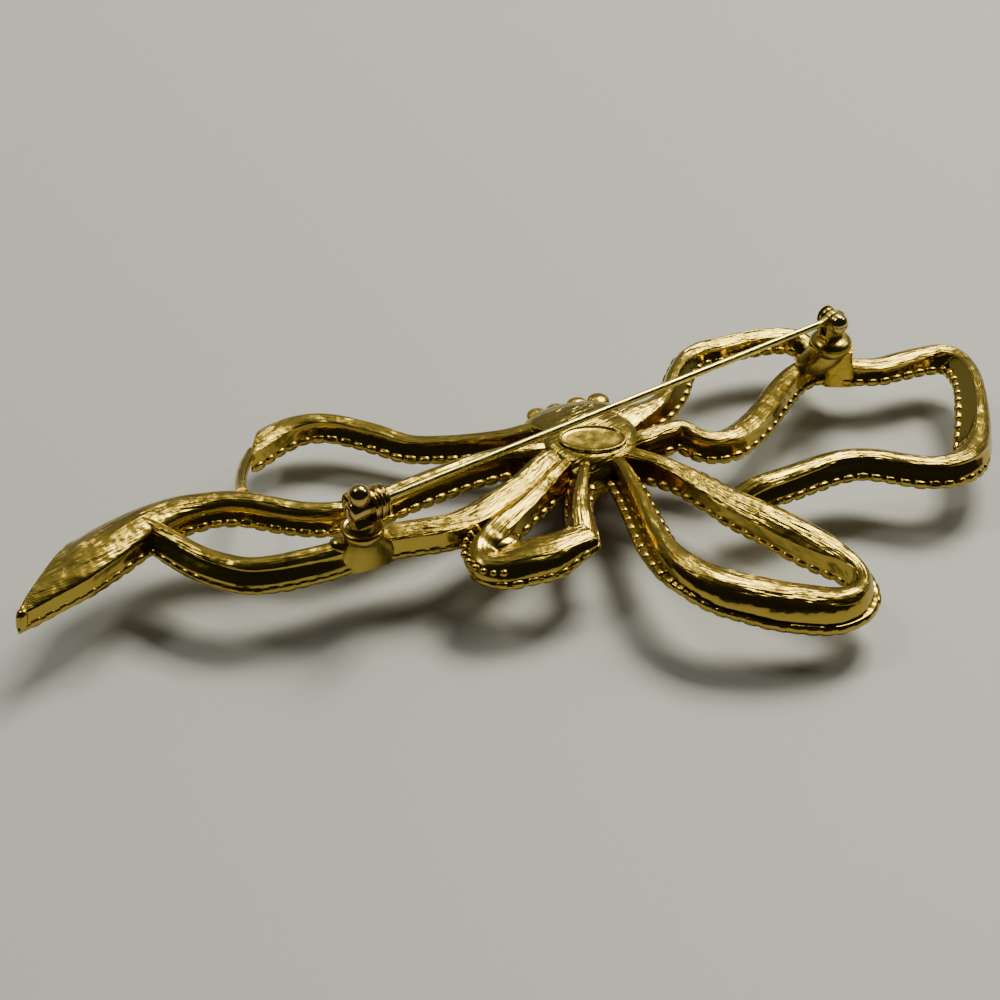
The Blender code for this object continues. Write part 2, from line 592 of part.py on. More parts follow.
def knot():
    foot = Vector((FOOT_ALONG * BOW_LENGTH, FOOT_ACROSS * BOW_WIDTH, 0))
    hub = Vector((HUB_ALONG * BOW_LENGTH, HUB_ACROSS * BOW_WIDTH, 0))
    rings = []
    for height, half_length, half_width, moved, square in KNOT_RINGS:
        centre = foot.lerp(hub, moved)
        rings.append(oval(
            centre, half_length * HUB_RADIUS, half_width * HUB_RADIUS, height * BACK_HEIGHT, square,
        ))
    return loft("knot", rings, CUTTERS)


def swelling():
    rings = []
    for height, along, across, half_length, half_width in SWELLING_RINGS:
        centre = Vector((
            HUB_ALONG * BOW_LENGTH + along * HUB_RADIUS,
            HUB_ACROSS * BOW_WIDTH + across * HUB_RADIUS,
            0,
        ))
        rings.append(oval(
            centre, half_length * HUB_RADIUS, half_width * HUB_RADIUS, height * BACK_HEIGHT,
            2.2, SWELLING_TURN,
        ))
    return loft("swelling", rings, CUTTERS)


def plaque():
    centre = Vector((PLAQUE_ALONG * BOW_LENGTH, PLAQUE_ACROSS * BOW_WIDTH, 0))
    half_length = PLAQUE_LENGTH / 2
    half_width = PLAQUE_WIDTH / 2
    top = BACK_HEIGHT + PLAQUE_RISE
    rim_top = top + PLAQUE_RIM_RISE
    outer = oval(centre, half_length, half_width, BACK_HEIGHT - 0.0008)
    edge = oval(centre, half_length, half_width, rim_top)
    inner_edge = oval(centre, half_length - PLAQUE_RIM_WIDTH, half_width - PLAQUE_RIM_WIDTH, rim_top)
    floor = oval(centre, half_length - PLAQUE_RIM_WIDTH, half_width - PLAQUE_RIM_WIDTH, top)
    return loft("plaque", [outer, edge, inner_edge, floor], CUTTERS)


def strut():
    """The thin bowed bar that ties the upper tail's cut end to the long tail."""
    top = Vector((-0.3010 * BOW_LENGTH, 0.0930 * BOW_WIDTH, 0.62 * BACK_HEIGHT))
    foot = Vector((-0.2990 * BOW_LENGTH, -0.1080 * BOW_WIDTH, 0.95 * BACK_HEIGHT))
    bow_out = Vector((-0.0060 * BOW_LENGTH, 0, 0))
    curve = bpy.data.curves.new("strut", "CURVE")
    curve.dimensions = "3D"
    curve.bevel_depth = STRUT_RADIUS
    curve.bevel_resolution = 2
    curve.use_fill_caps = True
    line = curve.splines.new("POLY")
    flares = ((0, 1.9), (0.12, 1.4), (0.3, 1.05), (0.55, 1), (0.8, 1.05), (0.92, 1.4), (1, 1.9))
    line.points.add(len(flares) - 1)
    for point, (t, flare) in zip(line.points, flares):
        point.co = (*(top.lerp(foot, t) + bow_out * (4 * t * (1 - t))), 1)
        point.radius = flare
    bm = drawn_mesh("strut", curve)
    bmesh.ops.recalc_face_normals(bm, faces=bm.faces)
    return mesh_object("strut", bm, CUTTERS)


def post_ring(centre, half_length):
    half_width = JOINT_POST_DEPTH / 2
    corners = ((-half_length, -half_width), (half_length, -half_width))
    corners += ((half_length, half_width), (-half_length, half_width))
    return [centre + Vector((x, y, 0)) for x, y in corners]


def ear_outline(radius, drop):
    """A tongue that stands on a base: round about the pivot, straight down to the base."""
    outline = [(-radius, -drop), (radius, -drop)]
    for i in range(13):
        angle = math.pi * i / 12
        outline.append((radius * math.cos(angle), radius * math.sin(angle)))
    return outline


def joint_pieces():
    """The soldered joint: post, round base and two ears on a web."""
    disc_low = JOINT_DISC_TOP - 0.0010
    post_foot = Vector((0.3420 * BOW_LENGTH, 0.3550 * BOW_WIDTH, 0.56 * BACK_HEIGHT))
    post_top = Vector((0.3362 * BOW_LENGTH, 0.3550 * BOW_WIDTH, disc_low + 0.0003))
    under = Vector((PIVOT.x, PIVOT.y, 0)) - TOWARDS_CATCH * 0.0003
    drop = PIN_HEIGHT - JOINT_DISC_TOP + 0.0003
    gap = EYE_THICKNESS / 2 + FIT_GAP
    outline = ear_outline(EAR_RADIUS, drop)
    web_top = PIN_HEIGHT - 0.0021
    pieces = [
        loft("post", [
            post_ring(post_foot, JOINT_POST_FOOT / 2),
            post_ring(post_top, JOINT_POST_WIDTH / 2),
        ], CUTTERS),
        turned("base", under, UPWARDS, (
            (disc_low, JOINT_DISC_RADIUS * 0.90),
            (disc_low + 0.0002, JOINT_DISC_RADIUS),
            (JOINT_DISC_TOP - 0.0002, JOINT_DISC_RADIUS),
            (JOINT_DISC_TOP, JOINT_DISC_RADIUS * 0.92),
        ), CUTTERS),
        block(
            "web", under + TOWARDS_CATCH * 0.0003, math.atan2(TOWARDS_CATCH.y, TOWARDS_CATCH.x),
            EAR_RADIUS * 0.96, gap + EAR_THICKNESS * 0.5, JOINT_DISC_TOP - 0.0004, web_top,
        ),
    ]
    for way in (-1, 1):
        near = way * gap
        far = way * (gap + EAR_THICKNESS)
        pieces.append(prism(
            "ear", PIVOT, TOWARDS_CATCH, UPWARDS, NEARWARDS, outline, min(near, far), max(near, far), CUTTERS,
        ))
    return pieces


def joint_bore():
    reach = EYE_THICKNESS / 2 + FIT_GAP + EAR_THICKNESS + 0.0005
    return turned("bore", PIVOT, NEARWARDS, (
        (-reach, RIVET_RADIUS + FIT_GAP),
        (reach, RIVET_RADIUS + FIT_GAP),
    ), CUTTERS)


def cradle():
    """The catch's open half ring: it holds the roller from below and from the far side."""
    inner = ROLLER_CORE_RADIUS + FIT_GAP
    outline = []
    for i in range(13):
        angle = math.radians(142 + (308 - 142) * i / 12)
        outline.append((CRADLE_RADIUS * math.sin(angle), CRADLE_RADIUS * math.cos(angle)))
    for i in range(13):
        angle = math.radians(308 - (308 - 142) * i / 12)
        outline.append((inner * math.sin(angle), inner * math.cos(angle)))
    return prism(
        "cradle", CATCH, NEARWARDS, UPWARDS, TOWARDS_CATCH, outline, 0, CRADLE_LENGTH, CUTTERS,
    )


def catch_pieces():
    """The soldered catch: pad on the ribbon, round base, stalk and cradle, and a blob of solder."""
    disc_low = CATCH_DISC_TOP - 0.0009
    pad_at = Vector((-0.1690 * BOW_LENGTH, -0.2610 * BOW_WIDTH, 0))
    disc_at = Vector((CATCH.x, CATCH.y, 0)) + TOWARDS_CATCH * (CRADLE_LENGTH * 0.35)
    blob_at = Vector((-0.1925 * BOW_LENGTH, -0.2760 * BOW_WIDTH, 0.94 * BACK_HEIGHT))
    stalk_at = Vector((CATCH.x, CATCH.y, 0)) + TOWARDS_CATCH * (CRADLE_LENGTH / 2)
    return [
        block("pad", pad_at, 0.43, CATCH_PAD_LENGTH / 2, 0.0019, 0.78 * BACK_HEIGHT, disc_low + 0.0002),
        turned("base", disc_at, UPWARDS, (
            (disc_low, CATCH_DISC_RADIUS * 0.90),
            (disc_low + 0.0002, CATCH_DISC_RADIUS),
            (CATCH_DISC_TOP - 0.0002, CATCH_DISC_RADIUS),
            (CATCH_DISC_TOP, CATCH_DISC_RADIUS * 0.90),
        ), CUTTERS),
        block(
            "stalk", stalk_at, math.atan2(TOWARDS_CATCH.y, TOWARDS_CATCH.x), CRADLE_LENGTH * 0.46, 0.0010,
            CATCH_DISC_TOP - 0.0003, PIN_HEIGHT - CRADLE_RADIUS + 0.0004,
        ),
        cradle(),
        ball("solder", blob_at, SOLDER_RADIUS, CUTTERS),
    ]


def bow_casting():
    body = knot()
    pieces = [ribbon(f"ribbon{i}", rows) for i, rows in enumerate(RIBBONS)]
    crossing = [piece for piece, rows in zip(pieces, RIBBONS) if rows in (LOWER_LOOP, SMALL_LOOP)]
    pieces += [
        ball("bead", Vector((along * PLAN.x, across * PLAN.y, height * PLAN.z)), BUMP_RADIUS, CUTTERS, BUMP_RISE)
        for along, across, height in KNOT_BEADS
    ]
    pieces += [swelling(), plaque(), strut()]
    pieces += joint_pieces()
    pieces += catch_pieces()
    fused(body, pieces, crossing)
    cut(body, [joint_bore()])
    fill_pockets(body)
    body.name = "bow_casting"
    body.data.name = "bow_casting"
    CUTTERS.objects.unlink(body)
    PARTS.objects.link(body)
    return body


def hinge_rivet():
    """The rivet: a ball head on the near side and a flatter one beyond, clear of the ears by the fit gap."""
    face = EYE_THICKNESS / 2 + FIT_GAP + EAR_THICKNESS + FIT_GAP
    far_dome = []
    near_dome = []
    for i in range(6):
        angle = math.radians(90 * i / 5)
        spread = math.cos(angle) * RIVET_HEAD_RADIUS
        far_dome.append((-face - FAR_HEAD_RISE * math.sin(angle), spread))
        near_dome.append((face + RIVET_HEAD_RISE * math.sin(angle), spread))
    profile = far_dome[::-1] + [(-face, RIVET_RADIUS), (face, RIVET_RADIUS)] + near_dome
    return turned("hinge_rivet", PIVOT, NEARWARDS, profile, PARTS)


def pin_stem():
    """The stem, with its origin on the rivet: eye, heel, flattened neck and pointed wire."""
    half = EYE_THICKNESS / 2
    body = turned("pin_stem", PIVOT, NEARWARDS, ((-half, EYE_RADIUS), (half, EYE_RADIUS)), PARTS)
    neck = [
        (0.3 * EYE_RADIUS, -0.75 * EYE_RADIUS),
        (1.6 * EYE_RADIUS, -0.85 * PIN_RADIUS),
        (2.6 * EYE_RADIUS, -0.70 * PIN_RADIUS),
        (2.6 * EYE_RADIUS, 0.70 * PIN_RADIUS),
        (1.6 * EYE_RADIUS, 0.85 * PIN_RADIUS),
        (0.3 * EYE_RADIUS, 0.75 * EYE_RADIUS),
    ]
    heel = [
        (-1.45 * EYE_RADIUS, 0.05 * EYE_RADIUS),
        (-0.3 * EYE_RADIUS, 0.05 * EYE_RADIUS),
        (-0.3 * EYE_RADIUS, 0.85 * EYE_RADIUS),
        (-1.45 * EYE_RADIUS, 0.72 * EYE_RADIUS),
    ]
    tip = REACH + 0.0013
    wire = turned("wire", PIVOT, TOWARDS_CATCH, (
        (1.2 * EYE_RADIUS, PIN_RADIUS),
        (tip - 0.0040, PIN_RADIUS),
        (tip - 0.0020, PIN_RADIUS * 0.72),
        (tip - 0.0006, PIN_RADIUS * 0.38),
        (tip, PIN_RADIUS * 0.10),
    ), CUTTERS, 12)
    pieces = [
        prism("neck", PIVOT, TOWARDS_CATCH, UPWARDS, NEARWARDS, neck, -half * 0.98, half * 0.98, CUTTERS),
        prism("heel", PIVOT, TOWARDS_CATCH, UPWARDS, NEARWARDS, heel, -half * 0.98, half * 0.98, CUTTERS),
        wire,
    ]
    fused(body, pieces)
    hole = turned("hole", PIVOT, NEARWARDS, (
        (-2 * half, RIVET_RADIUS + FIT_GAP),
        (2 * half, RIVET_RADIUS + FIT_GAP),
    ), CUTTERS)
    cut(body, [hole])
    return settle(body, PIVOT)


def catch_roller():
    """The safety roller, with its origin on the pin's line: core, ridged sleeve and ball lever."""
    start = -FIT_GAP
    profile = [(start - ROLLER_SLEEVE_LENGTH * share, radius) for share, radius in reversed(SLEEVE_STEPS)]
    profile += [(start, ROLLER_CORE_RADIUS), (CRADLE_LENGTH - 0.0001, ROLLER_CORE_RADIUS)]
    body = turned("catch_roller", CATCH, TOWARDS_CATCH, profile, PARTS)
    lever = CATCH + TOWARDS_CATCH * (CRADLE_LENGTH * 0.42) + UPWARDS * 0.00165
    nub = CATCH - TOWARDS_CATCH * (ROLLER_SLEEVE_LENGTH + FIT_GAP) + NEARWARDS * 0.0009 - UPWARDS * 0.0007
    pieces = [
        ball("lever", lever, LEVER_BALL_RADIUS, CUTTERS, 1, 20),
        ball("nub", nub, 0.00038, CUTTERS, 1, 10),
    ]
    fused(body, pieces)
    length = ROLLER_SLEEVE_LENGTH + CRADLE_LENGTH + 0.004
    bore = turned("bore", CATCH, TOWARDS_CATCH, (
        (-length, ROLLER_BORE_RADIUS),
        (length, ROLLER_BORE_RADIUS),
    ), CUTTERS, 20)
    half_slot = PIN_RADIUS + FIT_GAP
    slot = prism(
        "slot", CATCH, NEARWARDS, UPWARDS, TOWARDS_CATCH,
        [(-0.004, -half_slot), (0, -half_slot), (0, half_slot), (-0.004, half_slot)],
        -length, length, CUTTERS,
    )
    cut(body, [bore, slot])
    return settle(body, CATCH)


def settle(target, origin):
    """Move the object's origin to a point without moving the solid."""
    target.data.transform(Matrix.Translation(-origin))
    target.location = origin
    return target


def set_down(parts):
    """Move the brooch so that its bounding box is centred on the origin and rests on the ground."""
    corners = [
        vert.co + part.location for part in parts for vert in part.data.vertices
    ]
    low = Vector([min(corner[i] for corner in corners) for i in range(3)])
    high = Vector([max(corner[i] for corner in corners) for i in range(3)])
    shift = Vector((-(low.x + high.x) / 2, -(low.y + high.y) / 2, -low.z))
    for part in parts:
        if part.location.length > 0:
            part.location += shift
        else:
            part.data.transform(Matrix.Translation(shift))


GOLD = material("cast_gold", (0.80, 0.58, 0.22), 0.28)
BRIGHT = material("bright_gold", (0.85, 0.66, 0.32), 0.12)
WIRE = material("pin_wire", (0.83, 0.66, 0.36), 0.14)
ROLLED = material("catch_gold", (0.78, 0.58, 0.26), 0.14)

LOOKS = {"bow_casting": GOLD, "hinge_rivet": BRIGHT, "pin_stem": WIRE, "catch_roller": ROLLED}
MADE = [bow_casting(), hinge_rivet(), pin_stem(), catch_roller()]
set_down(MADE)
for made in MADE:
    made.data.materials.clear()
    made.data.materials.append(LOOKS[made.name])
    for face in made.data.polygons:
        face.material_index = 0
    made.data.shade_smooth()
    made.data.set_sharp_from_angle(angle=math.radians(38))
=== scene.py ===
"""The looks of a gold-plated bow brooch lying face down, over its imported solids."""
import json
import math

import bmesh
import bpy
import numpy as np
from mathutils import Matrix, Vector


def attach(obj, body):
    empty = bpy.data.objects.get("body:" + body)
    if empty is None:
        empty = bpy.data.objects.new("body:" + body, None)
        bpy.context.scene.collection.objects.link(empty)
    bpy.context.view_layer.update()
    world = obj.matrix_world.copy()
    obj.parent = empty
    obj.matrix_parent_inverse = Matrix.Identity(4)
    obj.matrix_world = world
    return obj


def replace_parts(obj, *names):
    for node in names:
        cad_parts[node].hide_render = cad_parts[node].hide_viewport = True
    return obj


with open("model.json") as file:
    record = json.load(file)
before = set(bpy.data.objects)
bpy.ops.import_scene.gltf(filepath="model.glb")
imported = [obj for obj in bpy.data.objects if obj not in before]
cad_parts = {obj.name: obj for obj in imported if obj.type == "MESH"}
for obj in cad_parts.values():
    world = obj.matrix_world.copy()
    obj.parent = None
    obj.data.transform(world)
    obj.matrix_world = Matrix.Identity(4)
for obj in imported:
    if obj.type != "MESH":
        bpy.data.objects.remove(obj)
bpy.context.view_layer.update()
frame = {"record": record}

# Sizes in metres, the same ones that the solids have.
BOW_LENGTH = 0.105
BOW_WIDTH = 0.055
BACK_HEIGHT = 0.0086
RIBBON_WIDTH = 0.0040
RIBBON_DEPTH = 0.0028
RAIL_BULGE = 0.0001
RAIL_WIDTH = 0.00045
HUB_RADIUS = 0.0053
PLAQUE_LENGTH = 0.0074
PLAQUE_WIDTH = 0.0046
PLAQUE_RISE = 0.00020
PLAQUE_RIM_WIDTH = 0.00030
PLAQUE_RIM_RISE = 0.00018
STRUT_RADIUS = 0.00060
PIN_RADIUS = 0.00040
EYE_RADIUS = 0.0011
EYE_THICKNESS = 0.0007
RIVET_RADIUS = 0.00045
RIVET_HEAD_RADIUS = 0.00118
RIVET_HEAD_RISE = 0.00108
FAR_HEAD_RISE = 0.00045
EAR_THICKNESS = 0.00060
EAR_RADIUS = 0.00112
FIT_GAP = 0.00010
CRADLE_RADIUS = 0.0020
CRADLE_LENGTH = 0.0019
ROLLER_CORE_RADIUS = 0.00112
ROLLER_BORE_RADIUS = 0.00058
ROLLER_RIDGE_RADIUS = 0.00185
ROLLER_GROOVE_RADIUS = 0.00152
ROLLER_SLEEVE_LENGTH = 0.0019
LEVER_BALL_RADIUS = 0.00122
SOLDER_RADIUS = 0.00122

# Where things stand, as shares of the bow's length and width from its middle. A third number is a
# share of BACK_HEIGHT.
PIVOT_SHARES = (0.3242, 0.3375)
HUB_SHARES = (0.0568, 0.0692)
KNOT_FOOT = (0.0450, 0.0180)
PLAQUE_SHARES = (0.0589, 0.0425)
POST_FOOT = (0.3420, 0.3550, 0.50)
POST_TOP = (0.3362, 0.3550)
PAD_SHARES = (-0.1690, -0.2610)
SOLDER_SHARES = (-0.1900, -0.2745, 1.00)
STRUT_TOP = (-0.3000, 0.0940, 0.570)
STRUT_FOOT = (-0.2990, -0.1080, 0.90)
# How far the strut bows out, as a share of the bow's length.
STRUT_BOW = 0.0060

# The soldered bases as rows of height and radius.
JOINT_DOME = (
    (0.0091, 0.0021), (0.0096, 0.00238), (0.0100, 0.0025), (0.0105, 0.0024),
    (0.0108, 0.0021), (0.0110, 0.0017),
)
CATCH_DISH = (
    (0.0097, 0.0019), (0.0102, 0.00222), (0.0106, 0.00232), (0.0109, 0.00225), (0.0111, 0.0020),
    (0.0110, 0.0017),
)
# The solder that flares out from the joint's base, as rows of height, how far it has moved out,
# half length and half width.
JOINT_FLARE = (
    (0.0101, 0.0, 0.0021, 0.0020), (0.0094, 0.0002, 0.0022, 0.0020), (0.0086, 0.0005, 0.0024, 0.0019),
    (0.0079, 0.0009, 0.0025, 0.0018), (0.0072, 0.0013, 0.0024, 0.0016), (0.0064, 0.0017, 0.0020, 0.0013),
)
# The post and the catch's pad as rows of height, half length and half width; the pad's last
# number is how far it has moved towards the base above it.
POST_RINGS = (
    (0.0043, 0.0021, 0.0017), (0.0058, 0.00185, 0.00165), (0.0072, 0.0017, 0.0016),
    (0.0084, 0.00165, 0.0016), (0.0092, 0.00175, 0.0018),
)
PAD_RINGS = (
    (0.0062, 0.0036, 0.00185, 0.0), (0.0076, 0.0033, 0.0019, 0.0), (0.0086, 0.0028, 0.00192, 0.2),
    (0.0094, 0.0023, 0.00190, 0.6), (0.0099, 0.0020, 0.00188, 1.0),
)
# The stalk that carries the cradle, as rows of height and radius.
CRADLE_FOOT = (
    (0.0108, 0.0017), (0.0111, 0.0014), (0.0113, 0.00118), (0.0116, 0.00105), (0.0119, 0.0010),
)
# How far the roller's bore and slot run on past the cradle's open end.
BORE_END = 0.0016
# The share of the strut's length over which its upper end rounds off.
STRUT_END = 0.07

# Under the hub the ribbons sink by ROOT_SINK, over ROOT_FADE inwards from ROOT_START out from its
# middle. Within ROOT_REACH the brushing spreads over the walls too, and within DULL_SHADE_REACH the
# walls turn dull and darker with painted shade; each comes on over its fade.
ROOT_SINK = 0.00055
ROOT_START = 0.0056
ROOT_FADE = 0.0026
ROOT_REACH = 0.0105
ROOT_BRUSHING_FADE = 0.003
DULL_SHADE_REACH = 0.0150
DULL_SHADE_FADE = 0.006

# The long tail's tip: how much its corner is blunted, then the nose on it, as the ends of its
# leaning axis and rows of height and radius.
BLUNT_TIP = 0.0003
NOSE_LINE = ((-0.05136, -0.02595, 0.0068), (-0.05105, -0.02550, 0.0091))
NOSE_RINGS = (
    (0.0068, 0.0003), (0.0070, 0.00046), (0.0074, 0.00058), (0.0080, 0.00062), (0.0086, 0.00060),
    (0.0089, 0.00050), (0.0091, 0.0003),
)
# The dish in the small loop's turn: its place, its half sizes in millimetres and its turn in degrees.
DISH_PLACE = (-0.0039, -0.0132, 0.0069)
DISH_SIZE = (2.1, 1.5, 0.85)
DISH_TURN = 35

# The milgrain beads along the front rails: their pitch, radius, length for each unit of width, and
# 0 for a square pillow to 1 for a ball. Their centres stand PROUD or LOW against the rail's edge,
# and BEAD_UP above the front.
BEAD_PITCH = 0.00155
BEAD_RADIUS = 0.00051
BEAD_LONG = 1.48
BEAD_ROUNDNESS = 0.62
PROUD = -0.00022
LOW = -0.00036
BEAD_UP = 0.00040
# The small beads on the back's edge at the small loop's turn, and how far out from that edge and
# how far down, as a share of the depth, they sit.
SMALL_BEAD_PITCH = 0.00098
SMALL_BEAD_RADIUS = 0.00038
SMALL_BEAD_LONG = 1.15
SMALL_BEAD_ROUNDNESS = 1.0
SHOULDER_BEAD_OUT = -0.00014
SHOULDER_BEAD_DROP = 0.33

# Each row is a station on the crown of a ribbon's back:
# along and across as shares of the bow's length and width, height of BACK_HEIGHT,
# back and front widths of RIBBON_WIDTH, depth of RIBBON_DEPTH,
# roll in degrees to the right of the way it runs, lean of the front as a share of RIBBON_WIDTH,
# and shear, the cut's advance for each unit across.
UPPER_TAIL = (
    (0.044, 0.070, 0.93, 0.70, 0.95, 1.00, 0, 0.00, 0.00),
    (0.005, 0.125, 0.87, 0.65, 0.95, 0.96, 0, 0.00, 0.00),
    (-0.032, 0.117, 0.80, 0.55, 0.95, 0.93, 5, 0.00, 0.00),
    (-0.067, 0.118, 0.73, 0.50, 0.95, 0.93, 12, 0.00, 0.00),
    (-0.102, 0.119, 0.69, 0.50, 0.95, 0.93, 15, 0.00, 0.00),
    (-0.134, 0.127, 0.66, 0.53, 0.95, 0.93, 12, 0.00, 0.00),
    (-0.161, 0.147, 0.69, 0.57, 0.95, 0.93, 8, 0.00, 0.00),
    (-0.189, 0.166, 0.71, 0.57, 0.95, 0.93, 5, 0.00, 0.00),
    (-0.216, 0.177, 0.74, 0.57, 0.95, 0.93, 3, 0.00, 0.00),
    (-0.243, 0.175, 0.76, 0.62, 0.95, 0.93, 0, 0.00, 0.00),
    (-0.269, 0.157, 0.74, 0.80, 1.00, 0.93, 0, 0.00, -0.40),
    (-0.300, 0.106, 0.72, 0.98, 1.10, 0.93, 0, 0.00, -1.05),
)
LONG_TAIL = (
    (0.041, 0.065, 0.95, 0.75, 1.05, 1.00, 0, 0.00, 0.00),
    (0.004, 0.045, 0.94, 0.70, 1.05, 1.00, 0, 0.00, 0.00),
    (-0.038, 0.026, 0.94, 0.65, 1.05, 1.00, 0, 0.00, 0.00),
    (-0.069, 0.003, 0.93, 0.65, 1.05, 1.00, 0, 0.00, 0.00),
    (-0.099, -0.029, 0.93, 0.65, 1.05, 1.00, 0, 0.00, 0.00),
    (-0.140, -0.078, 0.93, 0.65, 1.05, 1.00, 0, 0.00, 0.00),
    (-0.169, -0.117, 0.94, 0.65, 1.05, 1.00, 0, 0.00, 0.00),
    (-0.203, -0.147, 0.97, 0.68, 1.05, 1.00, 0, 0.00, 0.00),
    (-0.235, -0.151, 0.99, 0.70, 1.05, 1.00, 0, 0.00, 0.00),
    (-0.268, -0.143, 1.03, 0.72, 1.05, 1.00, 0, 0.00, 0.00),
    (-0.298, -0.136, 1.07, 0.75, 1.07, 1.00, 0, 0.00, 0.00),
    (-0.326, -0.142, 1.09, 0.80, 1.12, 1.00, 0, 0.00, 0.00),
    (-0.363, -0.169, 1.12, 1.05, 1.30, 1.04, 0, 0.00, 0.00),
    (-0.399, -0.224, 1.14, 1.38, 1.60, 1.07, 0, 0.00, -0.25),
    (-0.438, -0.305, 1.14, 1.66, 1.78, 1.06, 0, 0.00, -0.70),
    (-0.456, -0.337, 1.13, 1.66, 1.78, 1.02, 0, 0.00, -1.15),
    (-0.474, -0.368, 1.12, 1.66, 1.76, 0.96, 0, 0.00, -1.66),
)
LOWER_TAIL = (
    (0.046, 0.047, 0.97, 0.75, 1.05, 1.04, 0, 0.00, 0.00),
    (0.012, 0.009, 0.98, 0.80, 1.05, 1.04, 0, 0.00, 0.00),
    (-0.019, -0.076, 1.00, 0.88, 1.05, 1.04, 0, 0.00, 0.00),
    (-0.042, -0.124, 1.01, 0.93, 1.05, 1.00, 0, 0.00, 0.00),
    (-0.063, -0.168, 1.02, 0.95, 1.05, 1.00, 0, 0.00, 0.00),
    (-0.087, -0.199, 1.03, 0.95, 1.05, 1.00, 0, 0.00, 0.00),
    (-0.117, -0.217, 1.05, 0.93, 1.05, 1.00, 0, 0.00, 0.00),
    (-0.146, -0.230, 1.05, 0.90, 1.05, 1.00, 0, 0.00, 0.00),
    (-0.175, -0.250, 1.05, 0.80, 1.05, 1.04, 0, 0.00, 0.00),
    (-0.203, -0.280, 1.05, 0.70, 1.05, 1.07, 0, 0.00, 0.00),
    (-0.231, -0.300, 1.06, 0.65, 1.05, 1.11, 3, 0.00, 0.00),
    (-0.255, -0.314, 1.06, 0.62, 1.05, 1.11, 5, 0.00, 0.00),
    (-0.279, -0.320, 1.06, 0.60, 1.05, 1.11, 8, 0.00, 0.00),
    (-0.301, -0.308, 1.05, 0.57, 1.05, 1.07, 12, 0.00, 0.00),
    (-0.324, -0.290, 1.06, 0.53, 1.00, 1.04, 14, 0.00, 0.00),
    (-0.345, -0.265, 1.08, 0.50, 0.95, 1.04, 12, 0.00, 0.00),
    (-0.364, -0.242, 1.11, 0.47, 0.88, 1.04, 8, 0.00, 0.00),
    (-0.378, -0.227, 1.13, 0.45, 0.80, 1.00, 4, 0.00, 0.00),
    (-0.391, -0.217, 1.14, 0.42, 0.70, 0.93, 0, 0.00, 0.00),
)
SMALL_LOOP = (
    (0.040, 0.024, 0.97, 0.40, 0.75, 0.96, 0, 0.00, 0.00),
    (0.016, -0.052, 0.99, 0.47, 0.80, 0.96, 0, 0.00, 0.00),
    (0.001, -0.098, 1.00, 0.57, 0.82, 0.96, 0, 0.00, 0.00),
    (-0.014, -0.139, 1.01, 0.65, 0.85, 0.96, 0, 0.00, 0.00),
    (-0.028, -0.174, 1.01, 0.72, 0.88, 0.96, -3, -0.03, 0.00),
    (-0.040, -0.202, 1.00, 0.78, 0.90, 0.96, -8, -0.07, 0.00),
    (-0.048, -0.226, 0.98, 0.82, 0.80, 0.93, -14, -0.12, 0.00),
    (-0.055, -0.251, 0.95, 0.85, 0.75, 0.93, -18, -0.15, 0.00),
    (-0.056, -0.274, 0.94, 0.88, 0.70, 0.93, -18, -0.15, 0.00),
    (-0.049, -0.294, 0.94, 0.90, 0.85, 0.96, -14, -0.09, 0.00),
    (-0.036, -0.297, 0.95, 0.95, 1.10, 0.96, -10, 0.00, 0.00),
    (-0.018, -0.290, 0.98, 1.05, 1.20, 0.96, -5, 0.00, 0.00),
    (-0.002, -0.284, 1.00, 1.12, 1.23, 0.93, 0, 0.00, 0.00),
    (0.014, -0.274, 1.01, 1.07, 1.18, 0.93, 0, 0.00, 0.00),
    (0.031, -0.252, 1.00, 0.90, 1.00, 0.78, 0, 0.00, 0.00),
    (0.055, -0.2195, 0.96, 0.78, 0.84, 0.50, 0, 0.00, 0.00),
)
SMALL_LOOP_RETURN = (
    (0.054, 0.031, 0.97, 0.38, 0.70, 0.96, -10, 0.00, 0.00),
    (0.052, -0.037, 0.99, 0.38, 0.70, 0.96, -10, 0.00, 0.00),
    (0.049, -0.086, 0.99, 0.47, 0.72, 0.96, -12, 0.00, 0.00),
    (0.047, -0.132, 0.98, 0.55, 0.75, 0.96, -12, 0.00, 0.00),
    (0.048, -0.178, 0.97, 0.68, 0.80, 0.93, -8, 0.00, 0.00),
    (0.0495, -0.233, 0.91, 0.62, 0.70, 0.78, 0, 0.00, 0.00),
)
